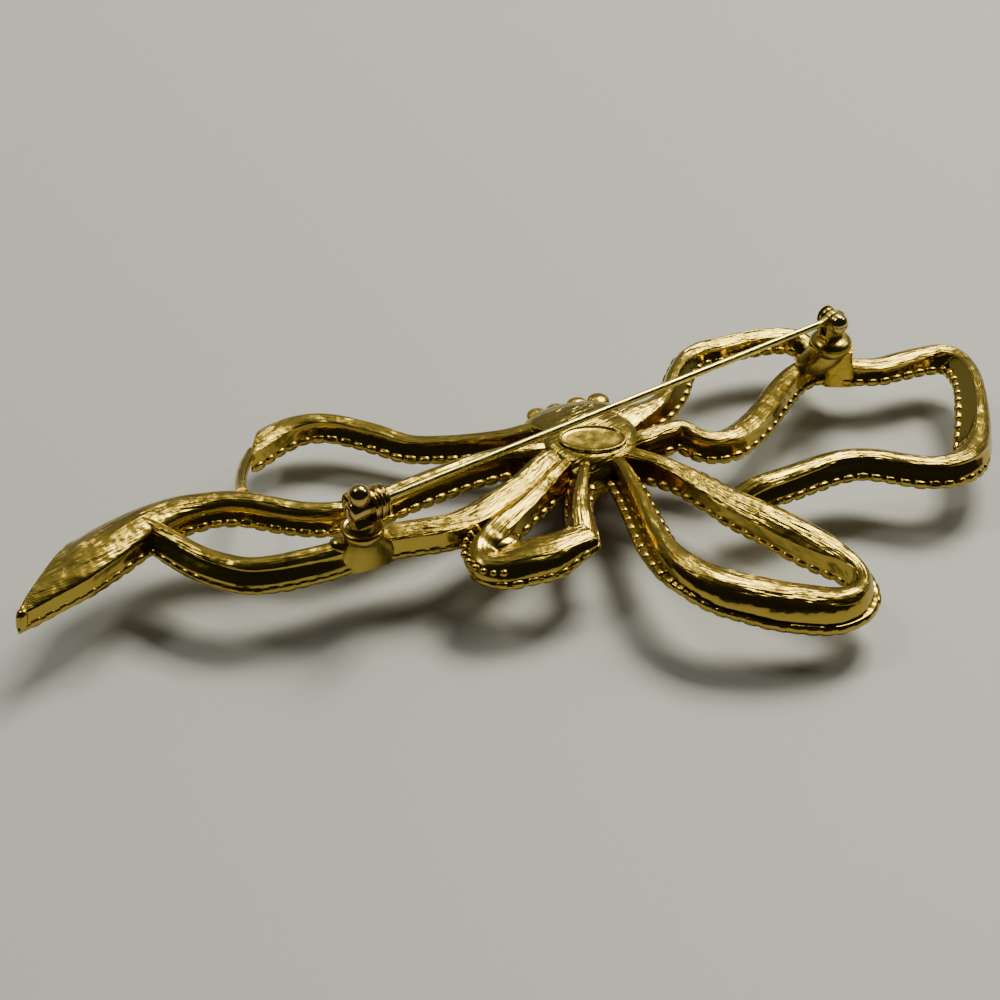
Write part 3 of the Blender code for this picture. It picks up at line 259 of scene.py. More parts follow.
LOWER_LOOP = (
    (0.067, 0.032, 0.98, 0.60, 0.85, 1.00, 0, 0.00, 0.00),
    (0.083, -0.011, 1.00, 0.47, 0.85, 1.00, 0, 0.00, 0.00),
    (0.094, -0.068, 1.02, 0.45, 0.88, 1.00, 0, 0.00, 0.00),
    (0.102, -0.130, 1.05, 0.47, 0.90, 1.00, 0, 0.00, 0.00),
    (0.110, -0.197, 1.07, 0.50, 0.95, 1.00, 0, 0.00, 0.00),
    (0.120, -0.259, 1.08, 0.55, 1.00, 1.00, 0, 0.00, 0.00),
    (0.134, -0.312, 1.09, 0.70, 1.02, 1.00, 0, 0.00, 0.00),
    (0.154, -0.352, 1.09, 0.82, 1.07, 1.00, 0, 0.00, 0.00),
    (0.176, -0.377, 1.08, 0.93, 1.12, 1.12, 0, 0.00, 0.00),
    (0.201, -0.389, 1.06, 0.95, 1.15, 1.20, 0, 0.00, 0.00),
    (0.230, -0.398, 1.02, 0.95, 1.15, 1.27, 0, 0.02, 0.00),
    (0.259, -0.398, 0.97, 0.90, 1.12, 1.29, 0, 0.03, 0.00),
    (0.284, -0.393, 0.92, 0.82, 1.03, 1.28, 0, 0.03, 0.00),
    (0.305, -0.375, 0.90, 0.60, 0.86, 1.22, 0, 0.05, 0.00),
    (0.316, -0.341, 0.88, 0.45, 0.74, 1.16, 0, 0.06, 0.00),
    (0.315, -0.306, 0.88, 0.45, 0.74, 1.14, 0, 0.05, 0.00),
    (0.303, -0.271, 0.90, 0.62, 0.86, 1.16, -5, -0.03, 0.00),
    (0.284, -0.239, 0.92, 0.90, 1.00, 1.16, -12, -0.10, 0.00),
    (0.260, -0.205, 0.94, 1.00, 1.05, 1.12, -14, -0.12, 0.00),
    (0.232, -0.169, 0.97, 1.00, 1.05, 1.04, -14, -0.09, 0.00),
    (0.202, -0.129, 0.98, 0.90, 1.02, 0.95, -12, -0.05, 0.00),
    (0.176, -0.086, 0.99, 0.75, 1.00, 0.88, -8, 0.00, 0.00),
    (0.151, -0.042, 1.00, 0.60, 0.95, 0.88, -5, 0.00, 0.00),
    (0.128, -0.008, 1.00, 0.55, 0.95, 1.00, 0, 0.00, 0.00),
    (0.097, 0.020, 0.99, 0.60, 0.95, 1.00, 0, 0.00, 0.00),
)
RIGHT_LOOP = (
    (0.079, 0.048, 0.98, 0.65, 1.00, 1.00, 0, 0.00, 0.00),
    (0.109, 0.063, 1.00, 0.60, 1.00, 0.96, 0, 0.00, 0.00),
    (0.133, 0.089, 1.00, 0.55, 0.95, 0.96, 0, 0.00, 0.00),
    (0.155, 0.107, 0.98, 0.50, 0.95, 0.96, 0, 0.00, 0.00),
    (0.173, 0.087, 0.94, 0.50, 0.95, 0.96, 0, 0.00, 0.00),
    (0.190, 0.079, 0.92, 0.55, 0.95, 0.96, 0, 0.00, 0.00),
    (0.206, 0.091, 0.91, 0.62, 0.95, 0.93, 0, 0.00, 0.00),
    (0.224, 0.126, 0.88, 0.68, 0.93, 0.89, 0, 0.00, 0.00),
    (0.243, 0.177, 0.86, 0.68, 0.90, 0.86, 0, 0.00, 0.00),
    (0.270, 0.271, 0.83, 0.65, 0.90, 0.82, 0, 0.00, 0.00),
    (0.290, 0.327, 0.81, 0.62, 0.90, 0.82, 0, 0.00, 0.00),
    (0.311, 0.358, 0.80, 0.60, 0.90, 0.82, 0, 0.00, 0.00),
    (0.340, 0.365, 0.79, 0.60, 0.93, 0.82, 0, 0.00, 0.00),
    (0.362, 0.357, 0.79, 0.62, 0.93, 0.79, 0, 0.00, 0.00),
    (0.386, 0.359, 0.79, 0.62, 0.90, 0.79, 0, 0.00, 0.00),
    (0.413, 0.379, 0.80, 0.62, 0.90, 0.82, 0, 0.00, 0.00),
    (0.440, 0.398, 0.81, 0.57, 0.90, 0.89, 0, 0.00, 0.00),
    (0.462, 0.405, 0.83, 0.55, 0.93, 0.96, -5, 0.00, 0.00),
    (0.478, 0.386, 0.84, 0.50, 0.95, 1.00, -12, 0.00, 0.00),
    (0.488, 0.339, 0.85, 0.47, 0.95, 1.00, -22, 0.00, 0.00),
    (0.491, 0.280, 0.85, 0.47, 0.97, 1.00, -30, 0.00, 0.00),
    (0.488, 0.205, 0.86, 0.47, 1.00, 1.00, -30, 0.05, 0.00),
    (0.481, 0.135, 0.87, 0.53, 1.00, 1.00, -20, 0.11, 0.00),
    (0.469, 0.076, 0.88, 0.60, 1.00, 1.00, -5, 0.13, 0.00),
    (0.451, 0.035, 0.90, 0.62, 1.00, 1.02, 10, 0.08, 0.00),
    (0.430, 0.012, 0.91, 0.60, 1.00, 1.04, 16, 0.03, 0.00),
    (0.409, 0.006, 0.91, 0.60, 1.00, 1.04, 18, 0.00, 0.00),
    (0.384, 0.015, 0.91, 0.60, 1.00, 1.04, 18, 0.00, 0.00),
    (0.359, 0.028, 0.91, 0.60, 1.00, 1.04, 18, 0.00, 0.00),
    (0.333, 0.031, 0.91, 0.60, 1.00, 1.04, 18, 0.00, 0.00),
    (0.306, 0.018, 0.91, 0.60, 1.00, 1.04, 16, 0.00, 0.00),
    (0.279, -0.011, 0.92, 0.60, 1.00, 1.00, 12, 0.00, 0.00),
    (0.252, -0.041, 0.93, 0.60, 1.00, 1.00, 8, 0.00, 0.00),
    (0.226, -0.065, 0.92, 0.60, 1.00, 1.00, 5, 0.00, 0.00),
    (0.203, -0.090, 0.84, 0.55, 0.95, 1.00, 0, 0.00, 0.00),
)
UPPER_LOOP = (
    (0.077, 0.111, 0.95, 1.15, 1.35, 0.93, 0, 0.00, 0.00),
    (0.105, 0.163, 0.93, 1.00, 1.20, 0.93, 0, 0.00, 0.00),
    (0.128, 0.204, 0.90, 0.70, 1.02, 0.93, -12, 0.00, 0.00),
    (0.142, 0.258, 0.87, 0.53, 0.95, 0.93, -22, 0.00, 0.00),
    (0.152, 0.317, 0.86, 0.53, 0.93, 0.89, -22, 0.00, 0.00),
    (0.166, 0.371, 0.86, 0.55, 0.90, 0.86, -12, 0.00, 0.00),
    (0.185, 0.405, 0.86, 0.62, 0.90, 0.82, 0, 0.00, 0.00),
    (0.207, 0.421, 0.86, 0.68, 0.93, 0.82, 0, 0.00, 0.00),
    (0.232, 0.440, 0.86, 0.68, 0.93, 0.82, 0, 0.00, 0.00),
    (0.258, 0.455, 0.86, 0.65, 0.93, 0.82, 0, 0.00, 0.00),
    (0.283, 0.463, 0.85, 0.60, 0.93, 0.82, 0, 0.00, 0.00),
    (0.304, 0.457, 0.83, 0.57, 0.93, 0.82, 0, 0.00, 0.00),
    (0.318, 0.421, 0.80, 0.55, 0.93, 0.82, 0, 0.00, 0.00),
    (0.327, 0.383, 0.79, 0.55, 0.93, 0.82, 0, 0.00, 0.00),
)

# The knot from its foot to the hub's back, as shares: height of BACK_HEIGHT, half length and half
# width of HUB_RADIUS, how far the ring's centre has moved from the foot to the hub, and then how
# square the ring is, where 2 is an ellipse.
KNOT_RINGS = (
    (0.00, 0.300, 0.80, 0.00, 3.6),
    (0.05, 0.340, 0.86, 0.00, 3.2),
    (0.20, 0.380, 0.92, 0.05, 2.8),
    (0.40, 0.500, 0.98, 0.25, 2.4),
    (0.62, 0.780, 1.10, 0.60, 2.1),
    (0.80, 0.980, 1.14, 0.88, 2.0),
    (0.90, 1.020, 1.02, 1.00, 2.0),
    (0.96, 0.960, 0.94, 1.00, 2.0),
    (1.00, 0.840, 0.82, 1.00, 2.0),
)

# The swelling behind the hub that carries the four bumps, as shares: height of BACK_HEIGHT,
# then offset from the hub along and across, half length and half width, all of HUB_RADIUS.
SWELLING_RINGS = (
    (0.490, -0.37, 0.79, 0.87, 0.45),
    (0.600, -0.35, 0.91, 1.02, 0.57),
    (0.710, -0.33, 0.94, 1.06, 0.59),
    (0.810, -0.29, 0.85, 1.02, 0.56),
    (0.910, -0.22, 0.66, 0.94, 0.55),
    (0.975, -0.12, 0.42, 0.87, 0.55),
)
SWELLING_TURN = 16.5

# The four low bumps on the hub's far rim: along, across and height, shares as for the ribbons.
HUB_BUMPS = (
    (0.0032, 0.1800, 0.72),
    (0.0234, 0.1910, 0.74),
    (0.0465, 0.2070, 0.77),
    (0.0690, 0.2170, 0.79),
)
BUMP_RADIUS = 0.00128
BUMP_RISE = 0.46

# The catch roller's sleeve: distance along the pin from the cradle, then the radius of each step.
SLEEVE_STEPS = (
    (0.00, ROLLER_RIDGE_RADIUS),
    (0.22, ROLLER_RIDGE_RADIUS),
    (0.27, ROLLER_GROOVE_RADIUS),
    (0.37, ROLLER_GROOVE_RADIUS),
    (0.42, ROLLER_RIDGE_RADIUS),
    (0.64, ROLLER_RIDGE_RADIUS),
    (0.69, ROLLER_GROOVE_RADIUS),
    (0.79, ROLLER_GROOVE_RADIUS),
    (0.84, ROLLER_RIDGE_RADIUS),
    (1.00, ROLLER_RIDGE_RADIUS * 0.93),
)

# A ribbon's shoulders, where its back turns over into a wall: 0 for a crisp edge to 1 for a roll,
# how full the roll is, the share of the depth that it takes, the power by which the wall below it
# flares out, and the share of the flare that the wall reaches.
SHOULDERS = {
    "crisp": (0.0, 1.9, 0.72, 1.3, 0.9),
    "eased": (0.50, 2.2, 0.55, 1.3, 0.9),
    "soft": (1.0, 1.9, 0.72, 1.3, 0.9),
    "slope": (0.22, 1.6, 0.60, 1.0, 1.22),
}
SHOULDER_STEPS = 16
# How many stations a ribbon gets for each row of its table.
RIBBON_STEPS = 6
# A crisp shoulder's crown falls by EDGE_FALL of the depth over CROWN_SHARE of its steps, and the
# edge turns over in the rest. The wall runs from it in WALL_STEPS to WALL_FOOT of the depth.
EDGE_FALL = 0.13
CROWN_SHARE = 0.75
WALL_STEPS = 4
WALL_FOOT = 0.72

JOINTS = {joint["name"]: joint for joint in frame["record"]["behaviour"]["joints"]}
PIVOT = Vector(JOINTS["pin_hinge"]["pos_m"])
CATCH = Vector(JOINTS["roller_turn"]["pos_m"])
TOWARDS_CATCH = (CATCH - PIVOT).normalized()
UPWARDS = Vector((0, 0, 1))
NEARWARDS = -TOWARDS_CATCH.cross(UPWARDS)
REACH = (CATCH - PIVOT).length
# The bow's middle, from which the tables measure, lies a little off the origin.
MIDDLE = PIVOT - Vector((PIVOT_SHARES[0] * BOW_LENGTH, PIVOT_SHARES[1] * BOW_WIDTH, PIVOT.z))


def spot(along, across, height):
    """A place from its shares of the bow's length, width and back height."""
    return MIDDLE + Vector((along * BOW_LENGTH, across * BOW_WIDTH, height * BACK_HEIGHT))


HUB_MIDDLE = spot(*HUB_SHARES, 0)


def clamped(share):
    """A share kept between 0 and 1."""
    return min(1, max(0, share))


# Materials ---------------------------------------------------------------------------------

GOLD_COLOUR = (0.46, 0.332, 0.062)
# Painted shade: the dark brown painted on the walls near the hub and low on the knot, where shade falls.
PAINTED_SHADE_COLOUR = (0.20, 0.105, 0.016)


def new_material(name, colour, roughness):
    """A metallic material, with its tree and its shader."""
    made = bpy.data.materials.new(name)
    made.use_nodes = True
    shader = made.node_tree.nodes["Principled BSDF"]
    shader.inputs["Base Color"].default_value = (*colour, 1)
    shader.inputs["Metallic"].default_value = 1
    shader.inputs["Roughness"].default_value = roughness
    return made, made.node_tree, shader


def brush_group():
    """Streaks that run with a ribbon: a height, and a mask of where the metal is scuffed dull."""
    tree = bpy.data.node_groups.new("brush_marks", "ShaderNodeTree")
    face = tree.interface
    face.new_socket("Place", in_out="INPUT", socket_type="NodeSocketVector")
    face.new_socket("Lines per mm", in_out="INPUT", socket_type="NodeSocketFloat").default_value = 2.2
    face.new_socket("Runs per mm", in_out="INPUT", socket_type="NodeSocketFloat").default_value = 0.3
    face.new_socket("Height", in_out="OUTPUT", socket_type="NodeSocketFloat")
    face.new_socket("Scuff", in_out="OUTPUT", socket_type="NodeSocketFloat")
    nodes, links = tree.nodes, tree.links
    start = nodes.new("NodeGroupInput")
    end = nodes.new("NodeGroupOutput")

    def stretched(across_factor, along_factor, detail):
        """Noise drawn out along the ribbon, with the group's line and run counts times these."""
        pair = nodes.new("ShaderNodeCombineXYZ")
        for socket, name, factor in (
            ("X", "Lines per mm", across_factor), ("Y", "Runs per mm", along_factor),
        ):
            times = nodes.new("ShaderNodeMath")
            times.operation = "MULTIPLY"
            times.inputs[1].default_value = factor
            links.new(start.outputs[name], times.inputs[0])
            links.new(times.outputs[0], pair.inputs[socket])
        pair.inputs["Z"].default_value = 1
        scaled = nodes.new("ShaderNodeVectorMath")
        scaled.operation = "MULTIPLY"
        links.new(start.outputs["Place"], scaled.inputs[0])
        links.new(pair.outputs[0], scaled.inputs[1])
        noise = nodes.new("ShaderNodeTexNoise")
        noise.inputs["Scale"].default_value = 1
        noise.inputs["Detail"].default_value = detail
        noise.inputs["Roughness"].default_value = 0.6
        links.new(scaled.outputs[0], noise.inputs["Vector"])
        return noise.outputs["Fac"]

    coarse = stretched(1.0, 1.0, 1)
    fine = stretched(2.3, 1.7, 1)
    patches = stretched(0.16, 0.7, 0)
    mixed = nodes.new("ShaderNodeMix")
    mixed.inputs["Factor"].default_value = 0.35
    links.new(coarse, mixed.inputs["A"])
    links.new(fine, mixed.inputs["B"])
    # Where the brush pressed harder, and the streaks' height about zero.
    worn = nodes.new("ShaderNodeMapRange")
    worn.inputs["From Min"].default_value = 0.38
    worn.inputs["From Max"].default_value = 0.60
    worn.inputs["To Min"].default_value = 0.35
    links.new(patches, worn.inputs["Value"])
    level = nodes.new("ShaderNodeMath")
    level.operation = "SUBTRACT"
    level.inputs[1].default_value = 0.5
    links.new(mixed.outputs["Result"], level.inputs[0])
    height = nodes.new("ShaderNodeMath")
    height.operation = "MULTIPLY"
    links.new(level.outputs[0], height.inputs[0])
    links.new(worn.outputs["Result"], height.inputs[1])
    links.new(height.outputs[0], end.inputs["Height"])
    scuff = nodes.new("ShaderNodeMapRange")
    scuff.inputs["From Min"].default_value = 0.42
    scuff.inputs["From Max"].default_value = 0.62
    links.new(fine, scuff.inputs["Value"])
    links.new(scuff.outputs["Result"], end.inputs["Scuff"])
    return tree


def cast_gold(group):
    """Gold plate over a casting: brushed where the attribute says so, and polished elsewhere."""
    made, tree, shader = new_material("cast_gold", GOLD_COLOUR, 0.18)
    nodes, links = tree.nodes, tree.links
    place = nodes.new("ShaderNodeUVMap")
    place.uv_map = "brush"
    brushed = nodes.new("ShaderNodeAttribute")
    brushed.attribute_name = "brushed"
    marks = nodes.new("ShaderNodeGroup")
    marks.node_tree = group
    marks.inputs["Lines per mm"].default_value = 2.6
    marks.inputs["Runs per mm"].default_value = 0.24
    links.new(place.outputs["UV"], marks.inputs["Place"])
    streaks = nodes.new("ShaderNodeMath")
    streaks.operation = "MULTIPLY"
    links.new(marks.outputs["Height"], streaks.inputs[0])
    links.new(brushed.outputs["Fac"], streaks.inputs[1])
    brushing = nodes.new("ShaderNodeBump")
    brushing.inputs["Strength"].default_value = 1
    brushing.inputs["Distance"].default_value = 0.00029
    links.new(streaks.outputs[0], brushing.inputs["Height"])
    # The casting's own waviness under the brushing.
    body = nodes.new("ShaderNodeTexCoord")
    waves = nodes.new("ShaderNodeTexNoise")
    waves.inputs["Scale"].default_value = 420
    waves.inputs["Detail"].default_value = 2
    links.new(body.outputs["Object"], waves.inputs["Vector"])
    waviness = nodes.new("ShaderNodeBump")
    waviness.inputs["Strength"].default_value = 1
    waviness.inputs["Distance"].default_value = 0.00019
    links.new(waves.outputs["Fac"], waviness.inputs["Height"])
    links.new(brushing.outputs["Normal"], waviness.inputs["Normal"])
    links.new(waviness.outputs["Normal"], shader.inputs["Normal"])
    # Satin where it is brushed or under the dull painted-shade mask, and brighter plate between.
    satin = nodes.new("ShaderNodeMath")
    satin.operation = "MULTIPLY_ADD"
    satin.inputs[1].default_value = 0.45
    satin.inputs[2].default_value = 0.40
    links.new(marks.outputs["Scuff"], satin.inputs[0])
    dull = nodes.new("ShaderNodeMath")
    dull.operation = "MULTIPLY"
    links.new(satin.outputs[0], dull.inputs[0])
    links.new(brushed.outputs["Fac"], dull.inputs[1])
    dull_painted_shade = nodes.new("ShaderNodeAttribute")
    dull_painted_shade.attribute_name = "dull_painted_shade"
    duller = nodes.new("ShaderNodeMath")
    duller.operation = "MAXIMUM"
    links.new(dull.outputs[0], duller.inputs[0])
    links.new(dull_painted_shade.outputs["Fac"], duller.inputs[1])
    roughness = nodes.new("ShaderNodeMapRange")
    roughness.inputs["To Min"].default_value = 0.14
    roughness.inputs["To Max"].default_value = 0.26
    links.new(duller.outputs[0], roughness.inputs["Value"])
    links.new(roughness.outputs["Result"], shader.inputs["Roughness"])
    # Painted shade: the base colour turns a dark brown where the mask is set, on the walls near the hub and
    # low on the knot.
    colour = nodes.new("ShaderNodeMix")
    colour.data_type = "RGBA"
    colour.inputs["A"].default_value = (*GOLD_COLOUR, 1)
    colour.inputs["B"].default_value = (*PAINTED_SHADE_COLOUR, 1)
    links.new(dull_painted_shade.outputs["Fac"], colour.inputs["Factor"])
    links.new(colour.outputs["Result"], shader.inputs["Base Color"])
    return made


def polished_gold(name, colour, roughness, wave):
    """Polished gold plate with the faint unevenness of work finished by hand."""
    made, tree, shader = new_material(name, colour, roughness)
    nodes, links = tree.nodes, tree.links
    body = nodes.new("ShaderNodeTexCoord")
    waves = nodes.new("ShaderNodeTexNoise")
    waves.inputs["Scale"].default_value = 700
    waves.inputs["Detail"].default_value = 3
    links.new(body.outputs["Object"], waves.inputs["Vector"])
    bump = nodes.new("ShaderNodeBump")
    bump.inputs["Strength"].default_value = 1
    bump.inputs["Distance"].default_value = wave
    links.new(waves.outputs["Fac"], bump.inputs["Height"])
    links.new(bump.outputs["Normal"], shader.inputs["Normal"])
    worn = nodes.new("ShaderNodeMapRange")
    worn.inputs["From Min"].default_value = 0.35
    worn.inputs["From Max"].default_value = 0.70
    worn.inputs["To Min"].default_value = roughness * 0.8
    worn.inputs["To Max"].default_value = roughness * 1.6
    links.new(waves.outputs["Fac"], worn.inputs["Value"])
    links.new(worn.outputs["Result"], shader.inputs["Roughness"])
    return made


CAST = cast_gold(brush_group())
# The polished finishes: the colour, the roughness and the depth of the waviness in metres.
ROUGH = polished_gold("rough_gold", (0.52, 0.35, 0.05), 0.24, 0.00035)
BEADED = polished_gold("beaded_gold", GOLD_COLOUR, 0.20, 0.00005)
BRIGHT = polished_gold("bright_gold", (0.60, 0.46, 0.15), 0.10, 0.00003)
WIRE = polished_gold("pin_wire", (0.72, 0.60, 0.16), 0.22, 0.00002)
ROLLED = polished_gold("catch_gold", (0.54, 0.38, 0.12), 0.11, 0.00004)


# Mesh helpers ------------------------------------------------------------------------------


def piece(name, bm, material, body, sharp=50):
    """A finished piece from a bmesh, riding on its body."""
    mesh = bpy.data.meshes.new(name)
    bm.to_mesh(mesh)
    bm.free()
    mesh.materials.append(material)
    for polygon in mesh.polygons:
        polygon.material_index = 0
    mesh.shade_smooth()
    mesh.set_sharp_from_angle(angle=math.radians(sharp))
    made = bpy.data.objects.new(name, mesh)
    bpy.context.scene.collection.objects.link(made)
    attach(made, body)
    return made


def mesh_of(guide):
    """The guide's evaluated mesh as a bmesh; the guide goes."""
    bpy.context.view_layer.update()
    mesh = bpy.data.meshes.new_from_object(guide.evaluated_get(bpy.context.evaluated_depsgraph_get()))
    bpy.data.objects.remove(guide)
    bm = bmesh.new()
    bm.from_mesh(mesh)
    bmesh.ops.remove_doubles(bm, verts=bm.verts, dist=0.000002)
    bpy.data.meshes.remove(mesh)
    return bm


def guide_object(name, data):
    """A passing object for modifiers to work on."""
    guide = bpy.data.objects.new(name, data)
    bpy.context.scene.collection.objects.link(guide)
    return guide


def merged(bms):
    """One bmesh that holds several; the rest go."""
    whole = bmesh.new()
    for bm in bms:
        mesh = bpy.data.meshes.new("part")
        bm.to_mesh(mesh)
        bm.free()
        whole.from_mesh(mesh)
        bpy.data.meshes.remove(mesh)
    return whole


def placed(centre, along, up):
    """The matrix that takes Z to along, X as near as it goes to up, and the origin to centre."""
    z = along.normalized()
    x = (up - z * up.dot(z)).normalized()
    y = z.cross(x)
    return Matrix.Translation(centre) @ Matrix((x, y, z)).transposed().to_4x4()


def turned(centre, axis, profile, segments=64):
    """A body turned round an axis from rows of distance along it and radius, ends closed."""
    outline = [(profile[-1][0], 0)] + list(reversed(profile)) + [(profile[0][0], 0)]
    bm = bmesh.new()
    verts = [bm.verts.new((radius, 0, distance)) for distance, radius in outline]
    for above, below in zip(verts, verts[1:]):
        bm.edges.new((above, below))
    mesh = bpy.data.meshes.new("profile")
    bm.to_mesh(mesh)
    bm.free()
    guide = guide_object("profile", mesh)
    screw = guide.modifiers.new("turn", "SCREW")
    screw.axis = "Z"
    screw.steps = segments
    screw.render_steps = segments
    screw.use_merge_vertices = True
    screw.merge_threshold = 0.000002
    made = mesh_of(guide)
    up = Vector((1, 0, 0)) if abs(axis.normalized().z) > 0.9 else UPWARDS
    made.transform(placed(centre, axis, up))
    bmesh.ops.recalc_face_normals(made, faces=made.faces)
    return made


def softened(profile, radius, steps=4):
    """A profile with its inner corners rounded."""
    points = [Vector(row) for row in profile]
    out = [points[0]]
    for before, corner, after in zip(points, points[1:], points[2:]):
        reach = min(radius, (corner - before).length * 0.45, (after - corner).length * 0.45)
        start = corner + (before - corner).normalized() * reach
        end = corner + (after - corner).normalized() * reach
        for i in range(steps + 1):
            t = i / steps
            out.append(start * (1 - t) ** 2 + corner * (2 * t * (1 - t)) + end * t**2)
    out.append(points[-1])
    return [tuple(point) for point in out]


def slab(centre, side, up, axis, outline, start, end, rounding):
    """A flat outline in side and up, extruded along the axis, its rims rounded."""
    curve = bpy.data.curves.new("outline", "CURVE")
    curve.dimensions = "2D"
    curve.fill_mode = "BOTH"
    curve.extrude = (end - start) / 2 - rounding
    curve.bevel_depth = rounding
    curve.bevel_resolution = 2
    curve.offset = -rounding
    line = curve.splines.new("POLY")
    line.points.add(len(outline) - 1)
    for point, (u, v) in zip(line.points, outline):
        point.co = (u, v, 0, 1)
    line.use_cyclic_u = True
    made = mesh_of(guide_object("outline", curve))
    at = Matrix.Translation(centre + axis * (start + end) / 2)
    made.transform(at @ Matrix((side, up, axis)).transposed().to_4x4())
    bmesh.ops.recalc_face_normals(made, faces=made.faces)
    return made


def ball(centre, radius, segments=48):
    """A round ball as a bmesh."""
    bm = bmesh.new()
    bmesh.ops.create_uvsphere(
        bm, u_segments=segments, v_segments=segments // 2, radius=radius, matrix=Matrix.Translation(centre),
    )
    return bm


def block(centre, turn, half_length, half_width, low, high, rounding=0.00015):
    """An upright box, turned about Z, between two heights, its edges rounded."""
    bm = bmesh.new()
    bmesh.ops.create_cube(bm, size=1)
    size = Matrix.Diagonal((2 * half_length, 2 * half_width, high - low, 1))
    at = Matrix.Translation((centre.x, centre.y, (low + high) / 2))
    bmesh.ops.transform(bm, verts=bm.verts, matrix=at @ Matrix.Rotation(turn, 4, "Z") @ size)
    bmesh.ops.bevel(bm, geom=bm.edges, offset=rounding, segments=3, affect="EDGES", profile=0.5)
    return bm


def skin(bm, rows):
    """Faces from ring to ring and over both ends, pointing outwards."""
    for lower, upper in zip(rows, rows[1:]):
        for i in range(len(lower)):
            j = (i + 1) % len(lower)
            bm.faces.new((lower[i], lower[j], upper[j], upper[i]))
    bm.faces.new(rows[0][::-1])
    bm.faces.new(rows[-1])
    bmesh.ops.recalc_face_normals(bm, faces=bm.faces)


def loft(rings):
    """A closed body through rings."""
    bm = bmesh.new()
    skin(bm, [[bm.verts.new(point) for point in ring] for ring in rings])
    return bm


def brush_layers(bm):
    """The layers that the cast gold reads: the brush map, how brushed each place is, and how dull and
    darkened with painted shade.
    """
    return (
        bm.loops.layers.uv.new("brush"),
        bm.verts.layers.float.new("brushed"),
        bm.verts.layers.float.new("dull_painted_shade"),
    )


# Ribbons -----------------------------------------------------------------------------------


def stations(rows, steps):
    """Smooth stations between the rows of a ribbon's table, in metres."""
    points = np.array([
        (
            along * BOW_LENGTH + MIDDLE.x,
            across * BOW_WIDTH + MIDDLE.y,
            height * BACK_HEIGHT,
            back * RIBBON_WIDTH,
            front * RIBBON_WIDTH,
            depth * RIBBON_DEPTH,
            roll,
            lean * RIBBON_WIDTH,
            shear,
        )
        for along, across, height, back, front, depth, roll, lean, shear in rows
    ])
    chord = np.concatenate(([0], np.cumsum(np.linalg.norm(np.diff(points[:, :3], axis=0), axis=1))))
    slope = np.zeros_like(points)
    for i in range(len(points)):
        before = max(i - 1, 0)
        after = min(i + 1, len(points) - 1)
        slope[i] = (points[after] - points[before]) / (chord[after] - chord[before])
    line = []
    for i in range(len(points) - 1):
        span = chord[i + 1] - chord[i]
        for t in np.arange(steps) / steps:
            line.append(
                (2 * t**3 - 3 * t**2 + 1) * points[i]
                + (t**3 - 2 * t**2 + t) * span * slope[i]
                + (3 * t**2 - 2 * t**3) * points[i + 1]
                + (t**3 - t**2) * span * slope[i + 1]
            )
    line.append(points[-1])
    return np.array(line)


def half_section(back, front, depth, shoulder):
    """Half a ribbon's outline from the crown of its back to the middle of its front.

    Each point has its place across and down, and how brushed it is.
    """
    a = back / 2
    b = front / 2
    softness, fullness, share, flare, reach = shoulder
    half = []
    for i in range(SHOULDER_STEPS + 1):
        t = i / SHOULDER_STEPS
        angle = math.radians(90 - 90 * t)
        fallen = 1 - math.sin(angle) ** (2 / fullness)
        rolled = (a * max(math.cos(angle), 0) ** (2 / fullness), fallen * share * depth)
        turned_over = max(0, (t - CROWN_SHARE) / (1 - CROWN_SHARE))
        edged = (
            a * (min(1, t / CROWN_SHARE) * 0.97 + 0.03 * math.sin(math.radians(90 * turned_over))),
            EDGE_FALL * depth * (min(1, t / CROWN_SHARE) ** 2.2 + 0.55 * turned_over**2),
        )
        brushed = softness * clamped(1 - (fallen - 0.16) / 0.22) + (1 - softness) * (turned_over < 0.2)
        half.append((
            edged[0] + (rolled[0] - edged[0]) * softness,
            edged[1] + (rolled[1] - edged[1]) * softness,
            brushed,
        ))
    reached = half[-1][1] / depth
    for step in range(1, WALL_STEPS + 1):
        t = step / (WALL_STEPS + 1)
        half.append((a + (b - a) * reach * t**flare, (reached + (WALL_FOOT - reached) * t) * depth, 0))
    return half + [
        (b - 0.8 * RAIL_BULGE, 0.74 * depth, 0),
        (b + 0.2 * RAIL_BULGE, 0.79 * depth, 0),
        (b + RAIL_BULGE, 0.85 * depth, 0),
        (b + 0.7 * RAIL_BULGE, 0.95 * depth, 0),
        (b - 0.00006, depth, 0),
        (b - RAIL_WIDTH, 0.995 * depth, 0),
        (b - RAIL_WIDTH - 0.00015, 0.94 * depth, 0),
        (0.4 * b, 0.91 * depth, 0),
        (0, 0.90 * depth, 0),
    ]


def section(back, front, depth, lean, shoulders, wider):
    """A ribbon's whole outline, round from the crown of its back, leaning as its front does.

    The shoulders and the extra widths are the left half's and the right half's.
    """
    left, right = (
        half_section(back + 2 * more, front + 2 * more, depth, shoulder)
        for shoulder, more in zip(shoulders, wider)
    )
    whole = right + [(-across, down, brushed) for across, down, brushed in left[-2:0:-1]]
    return [(across + lean * down / depth, down, brushed) for across, down, brushed in whole]


def frames(line):
    """Centre, direction ahead, side and up at each station."""
    tangents = np.gradient(line[:, :3], axis=0)
    found = []
    for row, tangent in zip(line, tangents):
        ahead = Vector(tangent).normalized()
        level = (UPWARDS - ahead * ahead.z).normalized()
        right = ahead.cross(level)
        roll = math.radians(row[6])
        up = level * math.cos(roll) + right * math.sin(roll)
        side = right * math.cos(roll) - level * math.sin(roll)
        found.append((Vector(row[:3]), ahead, side, up))
    return found


